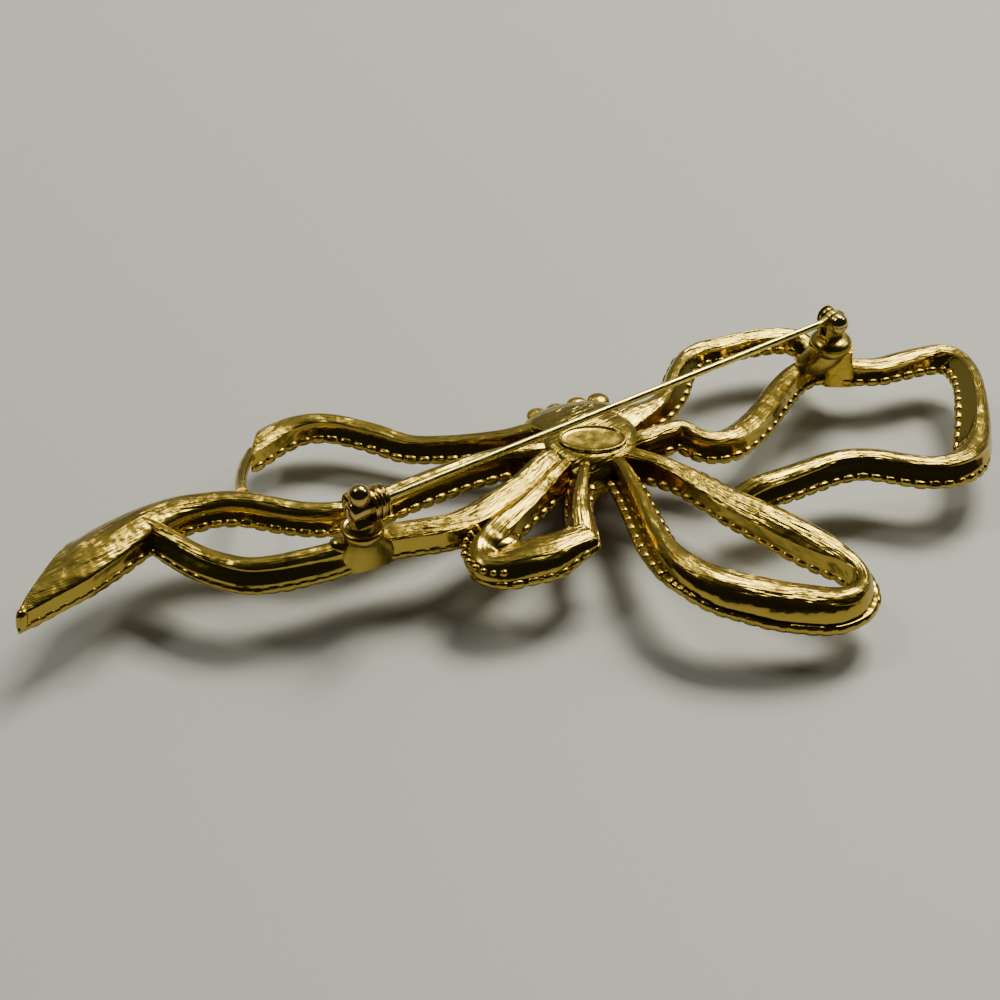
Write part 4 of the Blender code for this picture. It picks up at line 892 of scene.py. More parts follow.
def shoulder_at(kinds, at):
    """A shoulder's five numbers at a row: one kind throughout, or blended between the rows given."""
    if isinstance(kinds, str):
        return SHOULDERS[kinds]
    places = [row for row, _ in kinds]
    return [
        float(np.interp(at, places, values))
        for values in zip(*(SHOULDERS[kind] for _, kind in kinds))
    ]


def sunk_roots(line):
    """The stations with those under the hub let down into it."""
    for row in line:
        out = math.hypot(row[0] - HUB_MIDDLE.x, row[1] - HUB_MIDDLE.y)
        row[2] -= ROOT_SINK * clamped((ROOT_START - out) / ROOT_FADE)
    return line


def ribbon(rows, number, shoulders, rounding, brushing=None, wider=None, blunt=0):
    """A ribbon as a bmesh, with its brush map, where it is brushed, and where it is dulled and darkened
    with painted shade.

    The number sets its brush marks apart from the others'. Brushing and wider are given against
    the rows of its table, and blunt is how far the last row's left corner is drawn back.
    """
    line = sunk_roots(stations(rows, RIBBON_STEPS))
    axes = frames(line)
    chord = np.concatenate(([0], np.cumsum(np.linalg.norm(np.diff(line[:, :3], axis=0), axis=1))))
    bm = bmesh.new()
    brush, brushed_layer, dull_shade_layer = brush_layers(bm)
    place = {}
    rings = []
    for i, (row, (centre, ahead, side, up)) in enumerate(zip(line, axes)):
        at = i / RIBBON_STEPS
        more = 0 if wider is None else float(np.interp(at, *zip(*wider)))
        outline = section(
            row[3], row[4], row[5], row[7], [shoulder_at(kinds, at) for kinds in shoulders], (more, 0),
        )
        clipped = blunt * max(0, 1 - (len(line) - 1 - i) / 5)
        points = [
            centre + side * across - up * down
            + ahead * (across * row[8] - clipped * max(0, (-across / (row[3] / 2) - 0.62) / 0.38) ** 2)
            for across, down, _ in outline
        ]
        amount = 1.0 if brushing is None else float(np.interp(at, *zip(*brushing)))
        out = (centre.xy - HUB_MIDDLE.xy).length
        rootward = clamped((ROOT_REACH - out) / ROOT_BRUSHING_FADE)
        # Painted shade on the walls, strongest near the hub and fading out away from it.
        shaded = clamped((DULL_SHADE_REACH - out) / DULL_SHADE_FADE)
        rings.append((
            points,
            [(max(brushed * amount, rootward), shaded * (1 - brushed)) for _, _, brushed in outline],
            chord[i],
        ))
    # Three more rings at each end round it off.
    for end, step in ((0, -1), (-1, 1)):
        points, brushed, travelled = rings[end]
        ahead = axes[end][1] * step
        middle = sum(points, Vector()) / len(points)
        extra = []
        for angle in (30, 60, 90):
            inward = rounding * (1 - math.cos(math.radians(angle)))
            onward = rounding * math.sin(math.radians(angle)) - rounding
            extra.append((
                [p + (middle - p).normalized() * inward + ahead * onward for p in points],
                brushed,
                travelled + step * rounding,
            ))
        rings[end] = ([p - ahead * rounding for p in points], brushed, travelled)
        rings = rings + extra if step > 0 else extra[::-1] + rings
    # The brush map, in millimetres: round the outline from the crown, and along the ribbon.
    rows_of_verts = []
    for points, brushed, travelled in rings:
        around = 0
        row = []
        for j, point in enumerate(points):
            if j:
                around += (point - points[j - 1]).length
            vert = bm.verts.new(point)
            vert[brushed_layer], vert[dull_shade_layer] = brushed[j]
            place[vert] = (around, travelled)
            row.append(vert)
        total = around + (points[0] - points[-1]).length
        for vert in row:
            u, v = place[vert]
            if u > total / 2:
                u -= total
            place[vert] = (u * 1000 + number * 37.0, v * 1000)
        rows_of_verts.append(row)
    skin(bm, rows_of_verts)
    for face in bm.faces:
        for loop in face.loops:
            loop[brush].uv = place[loop.vert]
    return bm


def rail(rows, way, first, last, out):
    """The line of bead centres along one front rail of a ribbon, between two shares of its table."""
    line = stations(rows, RIBBON_STEPS)
    axes = frames(line)
    points = []
    count = len(line) - 1
    for i in range(int(round(first * count)), int(round(last * count)) + 1):
        row = line[i]
        centre, ahead, side, up = axes[i]
        across = way * (row[4] / 2 + out) + row[7] * (1 - BEAD_UP / row[5])
        points.append(centre + side * across - up * (row[5] - BEAD_UP) + ahead * across * row[8])
    return points


def shoulder_rail(rows, way, first, last):
    """The line of bead centres along the outer edge of a ribbon's back."""
    line = stations(rows, RIBBON_STEPS)
    axes = frames(line)
    points = []
    for i in range(first * RIBBON_STEPS, last * RIBBON_STEPS + 1):
        row = line[i]
        centre, ahead, side, up = axes[i]
        across = way * (row[3] / 2 + SHOULDER_BEAD_OUT)
        points.append(centre + side * across - up * (SHOULDER_BEAD_DROP * row[5]))
    return points


def beads(name, lines, pitch, radius, long, roundness):
    """Milgrain beads set nose to tail along lines, by Geometry Nodes."""
    curve = bpy.data.curves.new("rails", "CURVE")
    curve.dimensions = "3D"
    for points in lines:
        spline = curve.splines.new("POLY")
        spline.points.add(len(points) - 1)
        for control, point in zip(spline.points, points):
            control.co = (*point, 1)
    guide = guide_object("rails", curve)
    tree = bpy.data.node_groups.new("milgrain", "GeometryNodeTree")
    face = tree.interface
    face.new_socket("Geometry", in_out="INPUT", socket_type="NodeSocketGeometry")
    sizes = {"Pitch": pitch, "Radius": radius, "Length factor": long, "Roundness": roundness}
    sockets = {
        label: face.new_socket(label, in_out="INPUT", socket_type="NodeSocketFloat") for label in sizes
    }
    face.new_socket("Geometry", in_out="OUTPUT", socket_type="NodeSocketGeometry")
    nodes, links = tree.nodes, tree.links
    start = nodes.new("NodeGroupInput")
    end = nodes.new("NodeGroupOutput")
    spaced = nodes.new("GeometryNodeResampleCurve")
    spaced.mode = "LENGTH"
    links.new(start.outputs["Geometry"], spaced.inputs["Curve"])
    links.new(start.outputs["Pitch"], spaced.inputs["Length"])
    tangent = nodes.new("GeometryNodeInputTangent")
    turn = nodes.new("FunctionNodeAlignRotationToVector")
    turn.axis = "X"
    links.new(tangent.outputs[0], turn.inputs["Vector"])
    # One bead: a small cube whose corners are drawn in towards a ball.
    cube = nodes.new("GeometryNodeMeshCube")
    cube.inputs["Size"].default_value = (2, 2, 2)
    for side in "XYZ":
        cube.inputs["Vertices " + side].default_value = 4
    corner = nodes.new("GeometryNodeInputPosition")
    outward = nodes.new("ShaderNodeVectorMath")
    outward.operation = "NORMALIZE"
    links.new(corner.outputs[0], outward.inputs[0])
    rounder = nodes.new("ShaderNodeMix")
    rounder.data_type = "VECTOR"
    links.new(start.outputs["Roundness"], rounder.inputs["Factor"])
    links.new(corner.outputs[0], rounder.inputs[4])
    links.new(outward.outputs[0], rounder.inputs[5])
    sized = nodes.new("ShaderNodeVectorMath")
    sized.operation = "SCALE"
    links.new(rounder.outputs[1], sized.inputs[0])
    links.new(start.outputs["Radius"], sized.inputs["Scale"])
    pillow = nodes.new("GeometryNodeSetPosition")
    links.new(cube.outputs["Mesh"], pillow.inputs["Geometry"])
    links.new(sized.outputs[0], pillow.inputs["Position"])
    # Each bead a little larger or smaller than the next.
    varied = nodes.new("FunctionNodeRandomValue")
    varied.data_type = "FLOAT"
    varied.inputs["Min"].default_value = 0.90
    varied.inputs["Max"].default_value = 1.06
    varied.inputs["Seed"].default_value = 7
    stretched = nodes.new("ShaderNodeMath")
    stretched.operation = "MULTIPLY"
    links.new(varied.outputs[1], stretched.inputs[0])
    links.new(start.outputs["Length factor"], stretched.inputs[1])
    shape = nodes.new("ShaderNodeCombineXYZ")
    links.new(stretched.outputs[0], shape.inputs["X"])
    links.new(varied.outputs[1], shape.inputs["Y"])
    links.new(varied.outputs[1], shape.inputs["Z"])
    strung = nodes.new("GeometryNodeInstanceOnPoints")
    links.new(spaced.outputs["Curve"], strung.inputs["Points"])
    links.new(pillow.outputs["Geometry"], strung.inputs["Instance"])
    links.new(turn.outputs["Rotation"], strung.inputs["Rotation"])
    links.new(shape.outputs[0], strung.inputs["Scale"])
    real = nodes.new("GeometryNodeRealizeInstances")
    links.new(strung.outputs["Instances"], real.inputs[0])
    finish = nodes.new("GeometryNodeSetMaterial")
    finish.inputs["Material"].default_value = BEADED
    links.new(real.outputs[0], finish.inputs["Geometry"])
    links.new(finish.outputs[0], end.inputs[0])
    modifier = guide.modifiers.new("milgrain", "NODES")
    modifier.node_group = tree
    for label, size in sizes.items():
        modifier[sockets[label].identifier] = size
    return piece(name, mesh_of(guide), BEADED, "casting", 80)


# The hub -----------------------------------------------------------------------------------


def oval(centre, half_length, half_width, height, square=2, turn=0, segments=96):
    """A level ring: an ellipse, or a squarer oval, turned by some degrees."""
    ring = []
    ahead = Vector((math.cos(math.radians(turn)), math.sin(math.radians(turn)), 0))
    beside = Vector((-ahead.y, ahead.x, 0))
    for i in range(segments):
        angle = 2 * math.pi * i / segments
        along = math.cos(angle)
        across = math.sin(angle)
        ring.append(
            Vector((centre.x, centre.y, height))
            + ahead * half_length * math.copysign(abs(along) ** (2 / square), along)
            + beside * half_width * math.copysign(abs(across) ** (2 / square), across)
        )
    return ring


def smooth_rows(rows, steps):
    """Rows of numbers with smooth ones between them."""
    rows = np.array(rows, dtype=float)
    out = []
    for i in range(len(rows) - 1):
        a = rows[max(i - 1, 0)]
        b = rows[i]
        c = rows[i + 1]
        d = rows[min(i + 2, len(rows) - 1)]
        for t in np.arange(steps) / steps:
            out.append(0.5 * (
                2 * b + (c - a) * t + (2 * a - 5 * b + 4 * c - d) * t**2 + (3 * b - a - 3 * c + d) * t**3
            ))
    out.append(rows[-1])
    return out


# The way the hub was brushed.
HUB_GRAIN = Vector((math.cos(math.radians(38)), math.sin(math.radians(38)), 0))
HUB_BRUSHED_FROM = 0.6 * BACK_HEIGHT


def hub_loft(rings):
    """A body through level rings, brushed along the hub's grain on its upper part, and dulled and darkened
    with painted shade towards its foot.
    """
    bm = bmesh.new()
    brush, brushed_layer, dull_shade_layer = brush_layers(bm)
    skin(bm, [[bm.verts.new(point) for point in ring] for ring in rings])
    grain_side = Vector((-HUB_GRAIN.y, HUB_GRAIN.x, 0))
    for vert in bm.verts:
        vert[brushed_layer] = 1.0 if vert.co.z > HUB_BRUSHED_FROM else 0.0
        # Painted shade: darker and duller the lower a place stands on the knot.
        vert[dull_shade_layer] = clamped(1 - (vert.co.z / BACK_HEIGHT - 0.55) / 0.35)
    for face in bm.faces:
        for loop in face.loops:
            at = loop.vert.co * 1000
            loop[brush].uv = (at.dot(grain_side) + at.z * 0.8 + 500, at.dot(HUB_GRAIN))
    return bm


def hub():
    """The knot and the swelling behind it."""
    foot = spot(*KNOT_FOOT, 0)
    knot = [
        oval(
            foot.lerp(HUB_MIDDLE, moved), half_length * HUB_RADIUS, half_width * HUB_RADIUS,
            height * BACK_HEIGHT, square,
        )
        for height, half_length, half_width, moved, square in smooth_rows(KNOT_RINGS, 4)
    ]
    swelling = [
        oval(
            HUB_MIDDLE + Vector((along, across, 0)) * HUB_RADIUS, half_length * HUB_RADIUS,
            half_width * HUB_RADIUS, height * BACK_HEIGHT, 2.2, SWELLING_TURN,
        )
        for height, along, across, half_length, half_width in smooth_rows(SWELLING_RINGS, 4)
    ]
    return [hub_loft(knot), hub_loft(swelling)]


def turn_dish():
    """The shallow dish in the crook of the small loop's turn."""
    dish = ball(Vector(), 0.001, 40)
    dish.transform(
        Matrix.Translation(DISH_PLACE) @ Matrix.Rotation(math.radians(DISH_TURN), 4, "Z")
        @ Matrix.Diagonal((*DISH_SIZE, 1))
    )
    return dish


def hub_bumps():
    """The four low bumps on the hub's far rim."""
    made = []
    for along, across, height in HUB_BUMPS:
        bm = ball(Vector(), BUMP_RADIUS, 32)
        bm.transform(
            Matrix.Translation(spot(along, across, height)) @ Matrix.Diagonal((1, 1, BUMP_RISE, 1))
        )
        made.append(bm)
    return made


def plaque():
    """The bare oval plaque with its thin raised rim."""
    centre = spot(*PLAQUE_SHARES, 0)
    half_length = PLAQUE_LENGTH / 2
    half_width = PLAQUE_WIDTH / 2
    top = BACK_HEIGHT + PLAQUE_RISE
    rim = PLAQUE_RIM_RISE
    # From outside in: how far out of the plaque's edge, and how far above its face.
    wall = (
        (0.00012, -0.0010), (0.00003, rim * 0.3), (0.0, rim * 0.7), (-0.00005, rim * 0.93), (-0.00012, rim),
        (-0.00018, rim * 0.93), (-0.00024, rim * 0.6), (-0.00028, rim * 0.2),
        (-PLAQUE_RIM_WIDTH - 0.00004, 0), (-0.0008, -0.00002), (-0.0014, -0.00003), (-0.0020, -0.00003),
    )
    return loft([oval(centre, half_length + out, half_width + out, top + rise) for out, rise in wall])


def strut():
    """The thin bowed bar from the upper tail's cut end, where it is rounded, down to the long tail."""
    top = spot(*STRUT_TOP)
    foot = spot(*STRUT_FOOT)
    turns = [STRUT_END * (1 - math.cos(math.radians(15 * i))) for i in range(7)]
    shares = turns + [STRUT_END + (1 - STRUT_END) * i / 20 for i in range(1, 21)]
    bow_out = Vector((-STRUT_BOW * BOW_LENGTH, 0, 0))
    curve = bpy.data.curves.new("strut", "CURVE")
    curve.dimensions = "3D"
    curve.bevel_depth = STRUT_RADIUS
    curve.bevel_resolution = 6
    curve.use_fill_caps = True
    line = curve.splines.new("POLY")
    line.points.add(len(shares) - 1)
    for t, point in zip(shares, line.points):
        rounding = min(t, STRUT_END) / STRUT_END
        point.co = (*(top.lerp(foot, t) + bow_out * (4 * t * (1 - t))), 1)
        point.radius = (1.05 + 0.3 * abs(2 * t - 1) ** 8) * max(0.05, math.sqrt(1 - (1 - rounding) ** 2))
    return mesh_of(guide_object("strut", curve))


def tail_nose():
    """The rounded nose at the long tail's pointed corner."""
    foot, top = (Vector(place) for place in NOSE_LINE)
    return loft([
        oval(foot.lerp(top, (height - foot.z) / (top.z - foot.z)), radius, radius, height, 2, 0, 48)
        for height, radius in smooth_rows(NOSE_RINGS, 4)
    ])


# The findings ------------------------------------------------------------------------------


def ear_outline(radius, drop):
    """A tongue that stands on a base: round about the pivot, straight down to the base."""
    outline = [(-radius, -drop), (radius, -drop)]
    for i in range(33):
        angle = math.pi * i / 32
        outline.append((radius * math.cos(angle), radius * math.sin(angle)))
    return outline


def joint():
    """The soldered joint, as its domed base, web, flare of solder and two ears, and then its post."""
    under = Vector((PIVOT.x, PIVOT.y, 0)) - TOWARDS_CATCH * 0.0003
    drop = PIVOT.z - JOINT_DOME[-1][0] + 0.0002
    gap = EYE_THICKNESS / 2 + FIT_GAP
    outline = ear_outline(EAR_RADIUS, drop)
    low = spot(*POST_FOOT)
    high = spot(*POST_TOP, 0)
    rings = []
    for height, half_length, half_width in POST_RINGS:
        share = (height - low.z) / (JOINT_DOME[0][0] - low.z)
        centre = low.lerp(Vector((high.x, high.y, JOINT_DOME[0][0])), share)
        rings.append(oval(centre, half_length, half_width, height, 5, 0, 48))
    flare = [
        oval(under - Vector((moved, 0, 0)), half_length, half_width, height, 2, 0, 64)
        for height, moved, half_length, half_width in smooth_rows(JOINT_FLARE, 4)
    ]
    made = [
        turned(under, UPWARDS, softened(JOINT_DOME, 0.0002)),
        block(
            under + TOWARDS_CATCH * 0.0003, math.atan2(TOWARDS_CATCH.y, TOWARDS_CATCH.x),
            EAR_RADIUS * 0.96, gap + EAR_THICKNESS * 0.5,
            JOINT_DOME[-1][0] - 0.0004, PIVOT.z - 0.0019, 0.0001,
        ),
        loft(flare),
    ]
    for way in (-1, 1):
        near = way * gap
        far = way * (gap + EAR_THICKNESS)
        made.append(slab(
            PIVOT, TOWARDS_CATCH, UPWARDS, NEARWARDS, outline, min(near, far), max(near, far), 0.00014,
        ))
    return made, loft(rings)


def catch():
    """The soldered catch: pad, round base, stalk and open cradle, and the blob of solder."""
    disc_at = Vector((CATCH.x, CATCH.y, 0)) + TOWARDS_CATCH * (CRADLE_LENGTH * 0.35)
    stalk_at = Vector((CATCH.x, CATCH.y, 0)) + TOWARDS_CATCH * (CRADLE_LENGTH / 2)
    inner = ROLLER_CORE_RADIUS + FIT_GAP
    outline = []
    for radius, first, last in ((CRADLE_RADIUS, 142, 308), (inner, 308, 142)):
        for i in range(41):
            angle = math.radians(first + (last - first) * i / 40)
            outline.append((radius * math.sin(angle), radius * math.cos(angle)))
    pad_at = spot(*PAD_SHARES, 0)
    rings = []
    for height, half_length, half_width, moved in PAD_RINGS:
        rings.append(oval(pad_at.lerp(disc_at, moved), half_length, half_width, height, 2.4, 24.6, 64))
    solder = ball(Vector(), SOLDER_RADIUS, 48)
    solder.transform(
        Matrix.Translation(spot(*SOLDER_SHARES)) @ Matrix.Rotation(math.radians(12), 4, "Y")
        @ Matrix.Diagonal((1.25, 0.95, 0.72, 1))
    )
    return [
        loft(rings),
        turned(disc_at, UPWARDS, softened(CATCH_DISH, 0.0002)),
        turned(stalk_at, UPWARDS, CRADLE_FOOT),
        slab(CATCH, NEARWARDS, UPWARDS, TOWARDS_CATCH, outline, 0, CRADLE_LENGTH, 0.00016),
        solder,
    ]


def rivet():
    """The rivet: a ball head on the near side and a flatter one beyond."""
    face = EYE_THICKNESS / 2 + FIT_GAP + EAR_THICKNESS + FIT_GAP
    far_dome = []
    near_dome = []
    for i in range(17):
        angle = math.radians(90 * i / 16)
        spread = math.cos(angle) * RIVET_HEAD_RADIUS
        far_dome.append((-face - FAR_HEAD_RISE * math.sin(angle), spread))
        near_dome.append((face + RIVET_HEAD_RISE * math.sin(angle), spread))
    profile = far_dome[::-1][1:] + [(-face, RIVET_RADIUS), (face, RIVET_RADIUS)] + near_dome[:-1]
    return turned(PIVOT, NEARWARDS, profile)


def stem():
    """The pin stem: eye, heel, flattened neck and pointed wire."""
    half = EYE_THICKNESS / 2
    eye_rim = softened((
        (-half, EYE_RADIUS * 0.86), (-half, EYE_RADIUS), (half, EYE_RADIUS), (half, EYE_RADIUS * 0.86),
    ), 0.0001)
    neck = [
        (0.3 * EYE_RADIUS, -0.75 * EYE_RADIUS),
        (1.6 * EYE_RADIUS, -0.85 * PIN_RADIUS),
        (2.6 * EYE_RADIUS, -0.70 * PIN_RADIUS),
        (2.6 * EYE_RADIUS, 0.70 * PIN_RADIUS),
        (1.6 * EYE_RADIUS, 0.85 * PIN_RADIUS),
        (0.3 * EYE_RADIUS, 0.75 * EYE_RADIUS),
    ]
    heel = [
        (-1.50 * EYE_RADIUS, -0.10 * EYE_RADIUS),
        (-0.3 * EYE_RADIUS, -0.10 * EYE_RADIUS),
        (-0.3 * EYE_RADIUS, 0.80 * EYE_RADIUS),
        (-1.10 * EYE_RADIUS, 0.66 * EYE_RADIUS),
        (-1.45 * EYE_RADIUS, 0.40 * EYE_RADIUS),
        (-1.56 * EYE_RADIUS, 0.10 * EYE_RADIUS),
    ]
    tip = REACH + 0.0013
    wire = softened((
        (1.2 * EYE_RADIUS, PIN_RADIUS),
        (tip - 0.0040, PIN_RADIUS),
        (tip - 0.0020, PIN_RADIUS * 0.72),
        (tip - 0.0006, PIN_RADIUS * 0.38),
        (tip, PIN_RADIUS * 0.10),
    ), 0.0008, 6)
    return merged([
        turned(PIVOT, NEARWARDS, eye_rim),
        slab(PIVOT, TOWARDS_CATCH, UPWARDS, NEARWARDS, neck, -half * 0.98, half * 0.98, 0.00012),
        slab(PIVOT, TOWARDS_CATCH, UPWARDS, NEARWARDS, heel, -half * 0.98, half * 0.98, 0.00012),
        turned(PIVOT, TOWARDS_CATCH, wire, 32),
    ])


def roller():
    """The safety roller: core and ridged sleeve with a slot for the stem, ball lever and nub."""
    start = -FIT_GAP
    sleeve = [(start - ROLLER_SLEEVE_LENGTH * share, radius) for share, radius in reversed(SLEEVE_STEPS)]
    sleeve = softened(sleeve, 0.00008, 3)
    dome = []
    for degrees in range(0, 90, 15):
        angle = math.radians(degrees)
        dome.append((
            CRADLE_LENGTH - 0.0001 + 0.0005 * math.sin(angle),
            ROLLER_CORE_RADIUS * math.cos(angle),
        ))
    profile = sleeve + [(start, ROLLER_CORE_RADIUS)] + dome
    body = turned(CATCH, TOWARDS_CATCH, profile, 72)
    mesh = bpy.data.meshes.new("roller")
    body.to_mesh(mesh)
    body.free()
    guide = guide_object("roller", mesh)
    length = ROLLER_SLEEVE_LENGTH + CRADLE_LENGTH + 0.004
    half_slot = PIN_RADIUS + FIT_GAP
    slot = [(-0.004, -half_slot), (0, -half_slot), (0, half_slot), (-0.004, half_slot)]
    cutters = []
    for bm in (
        turned(CATCH, TOWARDS_CATCH, ((-length, ROLLER_BORE_RADIUS), (BORE_END, ROLLER_BORE_RADIUS)), 32),
        slab(CATCH, NEARWARDS, UPWARDS, TOWARDS_CATCH, slot, -length, BORE_END, 0.00001),
    ):
        cutter_mesh = bpy.data.meshes.new("cutter")
        bm.to_mesh(cutter_mesh)
        bm.free()
        cutter = guide_object("cutter", cutter_mesh)
        cutting = guide.modifiers.new("cut", "BOOLEAN")
        cutting.operation = "DIFFERENCE"
        cutting.object = cutter
        cutters.append(cutter)
    made = mesh_of(guide)
    for cutter in cutters:
        bpy.data.objects.remove(cutter)
    lever = CATCH + TOWARDS_CATCH * (CRADLE_LENGTH * 0.42) + UPWARDS * 0.00165
    nub = CATCH - TOWARDS_CATCH * (ROLLER_SLEEVE_LENGTH + FIT_GAP) + NEARWARDS * 0.0009 - UPWARDS * 0.0007
    return merged([made, ball(lever, LEVER_BALL_RADIUS, 56), ball(nub, 0.00038, 24)])


# The pieces --------------------------------------------------------------------------------

RIBBONS = {
    "upper_tail": UPPER_TAIL,
    "long_tail": LONG_TAIL,
    "lower_tail": LOWER_TAIL,
    "small_loop": SMALL_LOOP,
    "small_loop_return": SMALL_LOOP_RETURN,
    "lower_loop": LOWER_LOOP,
    "right_loop": RIGHT_LOOP,
    "upper_loop": UPPER_LOOP,
}
# The shoulders to the left and the right of the way each ribbon runs.
SIDES = {
    "upper_tail": ("crisp", "soft"),
    "long_tail": ("eased", "soft"),
    "lower_tail": (((0, "crisp"), (8, "crisp"), (10, "slope")), "soft"),
    "small_loop": ("crisp", "soft"),
    "small_loop_return": ("soft", "crisp"),
    "lower_loop": ("crisp", "soft"),
    "right_loop": ("slope", "crisp"),
    "upper_loop": ("soft", "crisp"),
}
# How much wider the left half of a ribbon gets, in metres, against the rows of its table.
WIDER = {"small_loop": ((4.5, 0), (6, 0.0004), (10, 0.0004), (12, 0))}
# How round the ends are, where they aren't PLAIN_ROUNDING.
PLAIN_ROUNDING = 0.0002
END_ROUNDING = {"long_tail": 0.0004, "upper_tail": 0.0004, "small_loop": 0.0007}
# Where a ribbon's brushing fades: rows of the table against how brushed it is there.
BRUSHING = {
    "small_loop": ((0, 1), (5, 1), (6.5, 0.5), (10.5, 0.4), (11.5, 0.7), (12.5, 1), (15, 0.7)),
}
# Which stretch of each rail carries beads: the ribbon, its left (-1) or right (1) side, the start
# and the end as shares of its table, and how far out the beads stand.
RAILS = (
    ("upper_tail", -1, 0.10, 0.99, PROUD),
    ("upper_tail", 1, 0.10, 0.98, LOW),
    ("long_tail", -1, 0.12, 0.74, PROUD),
    ("long_tail", -1, 0.74, 0.97, LOW),
    ("long_tail", 1, 0.12, 0.98, LOW),
    ("lower_tail", -1, 0.10, 0.96, LOW),
    ("lower_tail", 1, 0.10, 0.96, PROUD),
    ("small_loop", -1, 0.12, 0.38, PROUD),
    ("small_loop", 1, 0.12, 0.96, LOW),
    ("small_loop_return", -1, 0.25, 0.70, LOW),
    ("small_loop_return", 1, 0.25, 0.80, LOW),
    ("lower_loop", -1, 0.06, 0.96, PROUD),
    ("lower_loop", 1, 0.06, 0.96, LOW),
    ("right_loop", -1, 0.06, 0.20, PROUD),
    ("right_loop", -1, 0.40, 1.0, PROUD),
    ("right_loop", 1, 0.06, 1.0, PROUD),
    ("upper_loop", -1, 0.10, 0.98, LOW),
    ("upper_loop", 1, 0.10, 0.98, PROUD),
)

casting_parts = [
    ribbon(
        rows, number, SIDES[name], END_ROUNDING.get(name, PLAIN_ROUNDING),
        BRUSHING.get(name), WIDER.get(name),
        BLUNT_TIP if name == "long_tail" else 0,
    )
    for number, (name, rows) in enumerate(RIBBONS.items())
]
casting = piece("bow_ribbons", merged(casting_parts + hub() + [turn_dish()]), CAST, "casting")
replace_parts(casting, "bow_casting")
piece("hub_bumps", merged(hub_bumps()), ROUGH, "casting")
piece("plaque_face", plaque(), BEADED, "casting")
piece("tail_strut", merged([strut(), tail_nose()]), BEADED, "casting")
joint_parts, joint_post = joint()
piece("soldered_joint", merged(joint_parts), BEADED, "casting", 40)
piece("joint_post", joint_post, ROUGH, "casting", 60)
piece("soldered_catch", merged(catch()), BEADED, "casting", 40)
beads(
    "beaded_edges", [rail(RIBBONS[name], *place) for name, *place in RAILS],
    BEAD_PITCH, BEAD_RADIUS, BEAD_LONG, BEAD_ROUNDNESS,
)
beads(
    "turn_beads", [shoulder_rail(SMALL_LOOP, 1, 6, 10)],
    SMALL_BEAD_PITCH, SMALL_BEAD_RADIUS, SMALL_BEAD_LONG, SMALL_BEAD_ROUNDNESS,
)
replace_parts(piece("rivet_heads", rivet(), BRIGHT, "casting", 40), "hinge_rivet")
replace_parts(piece("pin_wire", stem(), WIRE, "pin", 40), "pin_stem")
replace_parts(piece("safety_roller", roller(), ROLLED, "roller", 40), "catch_roller")


# Floor, lights and camera ------------------------------------------------------------------

# The light of the room's far side: how high above the horizon (as a sine) and how bright.
FAR_LIGHT = (
    (0.00, 0.12), (0.18, 0.22), (0.45, 0.22), (0.66, 0.22),
    (0.78, 0.34), (0.86, 0.52), (0.95, 0.60), (1.00, 0.42),
)
LEAST_LIGHT = 0.02
ROOM_COLOUR = (0.97, 1.0, 0.97)
TABLE_COLOUR = (0.53, 0.55, 0.60)
TABLE_REACH = 3.0
# The windows: the direction of each from the brooch, its width and height in metres, and its power.
WINDOWS = {
    "far_window": ((0.30, 0.52, 0.80), (0.40, 0.29), 8.8),
    "right_window": ((0.72, 0.30, 0.63), (0.20, 0.16), 1.0),
    "left_window": ((-0.52, 0.16, 0.83), (0.24, 0.18), 1.5),
}
WINDOW_DISTANCE = 0.9
WINDOW_COLOUR = (1.0, 0.955, 0.70)
# The photograph's camera: what it looks at, from how high, how far, and half its angle of view.
CAMERA_TARGET = (-0.00419, -0.00501, 0.006)
CAMERA_ELEVATION = 40
CAMERA_DISTANCE = 0.2006
HALF_VIEW = 15


def table_top():
    """The plain pale table."""
    mesh = bpy.data.meshes.new("table_top")
    corners = [(x * TABLE_REACH, y * TABLE_REACH, 0) for x, y in ((-1, -1), (1, -1), (1, 1), (-1, 1))]
    mesh.from_pydata(corners, [], [(0, 1, 2, 3)])
    made, _, shader = new_material("pale_table", TABLE_COLOUR, 0.55)
    shader.inputs["Metallic"].default_value = 0
    shader.inputs["Specular IOR Level"].default_value = 0.35
    mesh.materials.append(made)
    floor = bpy.data.objects.new("table_top", mesh)
    bpy.context.scene.collection.objects.link(floor)


def soft_light(name, direction, size, power):
    """A window's light, towards the brooch."""
    lamp = bpy.data.lights.new(name, "AREA")
    lamp.shape = "RECTANGLE"
    lamp.size, lamp.size_y = size
    lamp.energy = power
    lamp.color = WINDOW_COLOUR
    made = bpy.data.objects.new(name, lamp)
    made.location = Vector(direction).normalized() * WINDOW_DISTANCE
    made.rotation_euler = Vector(direction).to_track_quat("Z", "Y").to_euler()
    bpy.context.scene.collection.objects.link(made)


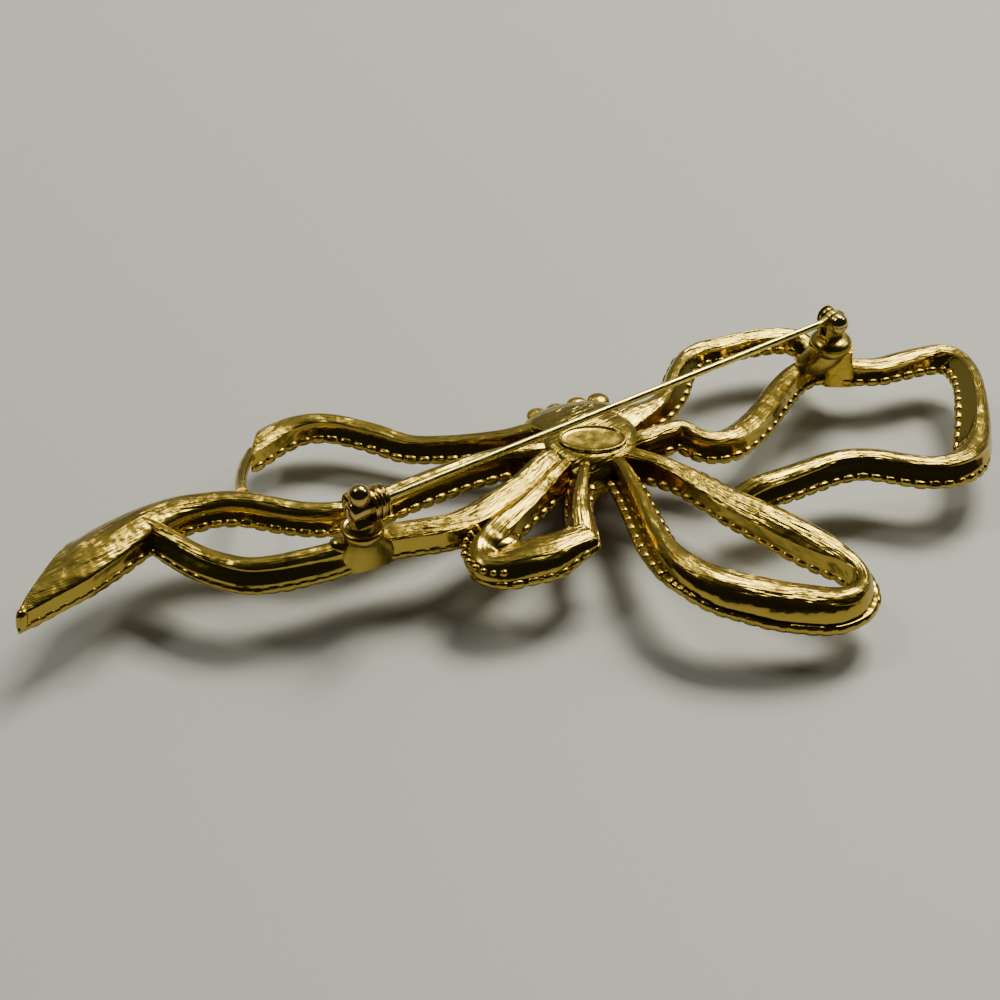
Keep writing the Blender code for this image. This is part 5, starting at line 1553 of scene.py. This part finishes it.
def room():
    """A dim room, dark behind the camera, its far side growing lighter towards the ceiling."""
    world = bpy.data.worlds.new("room")
    bpy.context.scene.world = world
    world.use_nodes = True
    nodes, links = world.node_tree.nodes, world.node_tree.links
    background = nodes["Background"]
    place = nodes.new("ShaderNodeTexCoord")
    split = nodes.new("ShaderNodeSeparateXYZ")
    links.new(place.outputs["Generated"], split.inputs[0])
    farness = nodes.new("ShaderNodeMapRange")
    farness.interpolation_type = "SMOOTHSTEP"
    farness.inputs["From Min"].default_value = -0.10
    farness.inputs["From Max"].default_value = 0.70
    links.new(split.outputs["Y"], farness.inputs["Value"])
    height = nodes.new("ShaderNodeValToRGB")
    stops = height.color_ramp.elements
    while len(stops) > 1:
        stops.remove(stops[-1])
    for i, (place_up, light) in enumerate(FAR_LIGHT):
        stop = stops[0] if i == 0 else stops.new(place_up)
        stop.position = place_up
        stop.color = (light, light, light, 1)
    links.new(split.outputs["Z"], height.inputs["Fac"])
    shade = nodes.new("ShaderNodeMath")
    shade.operation = "MULTIPLY"
    links.new(farness.outputs["Result"], shade.inputs[0])
    links.new(height.outputs["Color"], shade.inputs[1])
    lit = nodes.new("ShaderNodeMath")
    lit.operation = "MAXIMUM"
    lit.inputs[1].default_value = LEAST_LIGHT
    links.new(shade.outputs[0], lit.inputs[0])
    background.inputs["Color"].default_value = (*ROOM_COLOUR, 1)
    links.new(lit.outputs[0], background.inputs["Strength"])


def photo_camera():
    """The camera at the photograph's angle."""
    lens = bpy.data.cameras.new("photo_camera")
    lens.sensor_width = 36
    lens.lens = lens.sensor_width / 2 / math.tan(math.radians(HALF_VIEW))
    lens.clip_start = 0.001
    eye = bpy.data.objects.new("photo_camera", lens)
    bpy.context.scene.collection.objects.link(eye)
    elevation = math.radians(CAMERA_ELEVATION)
    back = Vector((0, -math.cos(elevation), math.sin(elevation)))
    eye.location = Vector(CAMERA_TARGET) + CAMERA_DISTANCE * back
    eye.rotation_euler = (math.radians(90) - elevation, 0, 0)
    bpy.context.scene.camera = eye


table_top()
room()
for name, window in WINDOWS.items():
    soft_light(name, *window)
photo_camera()
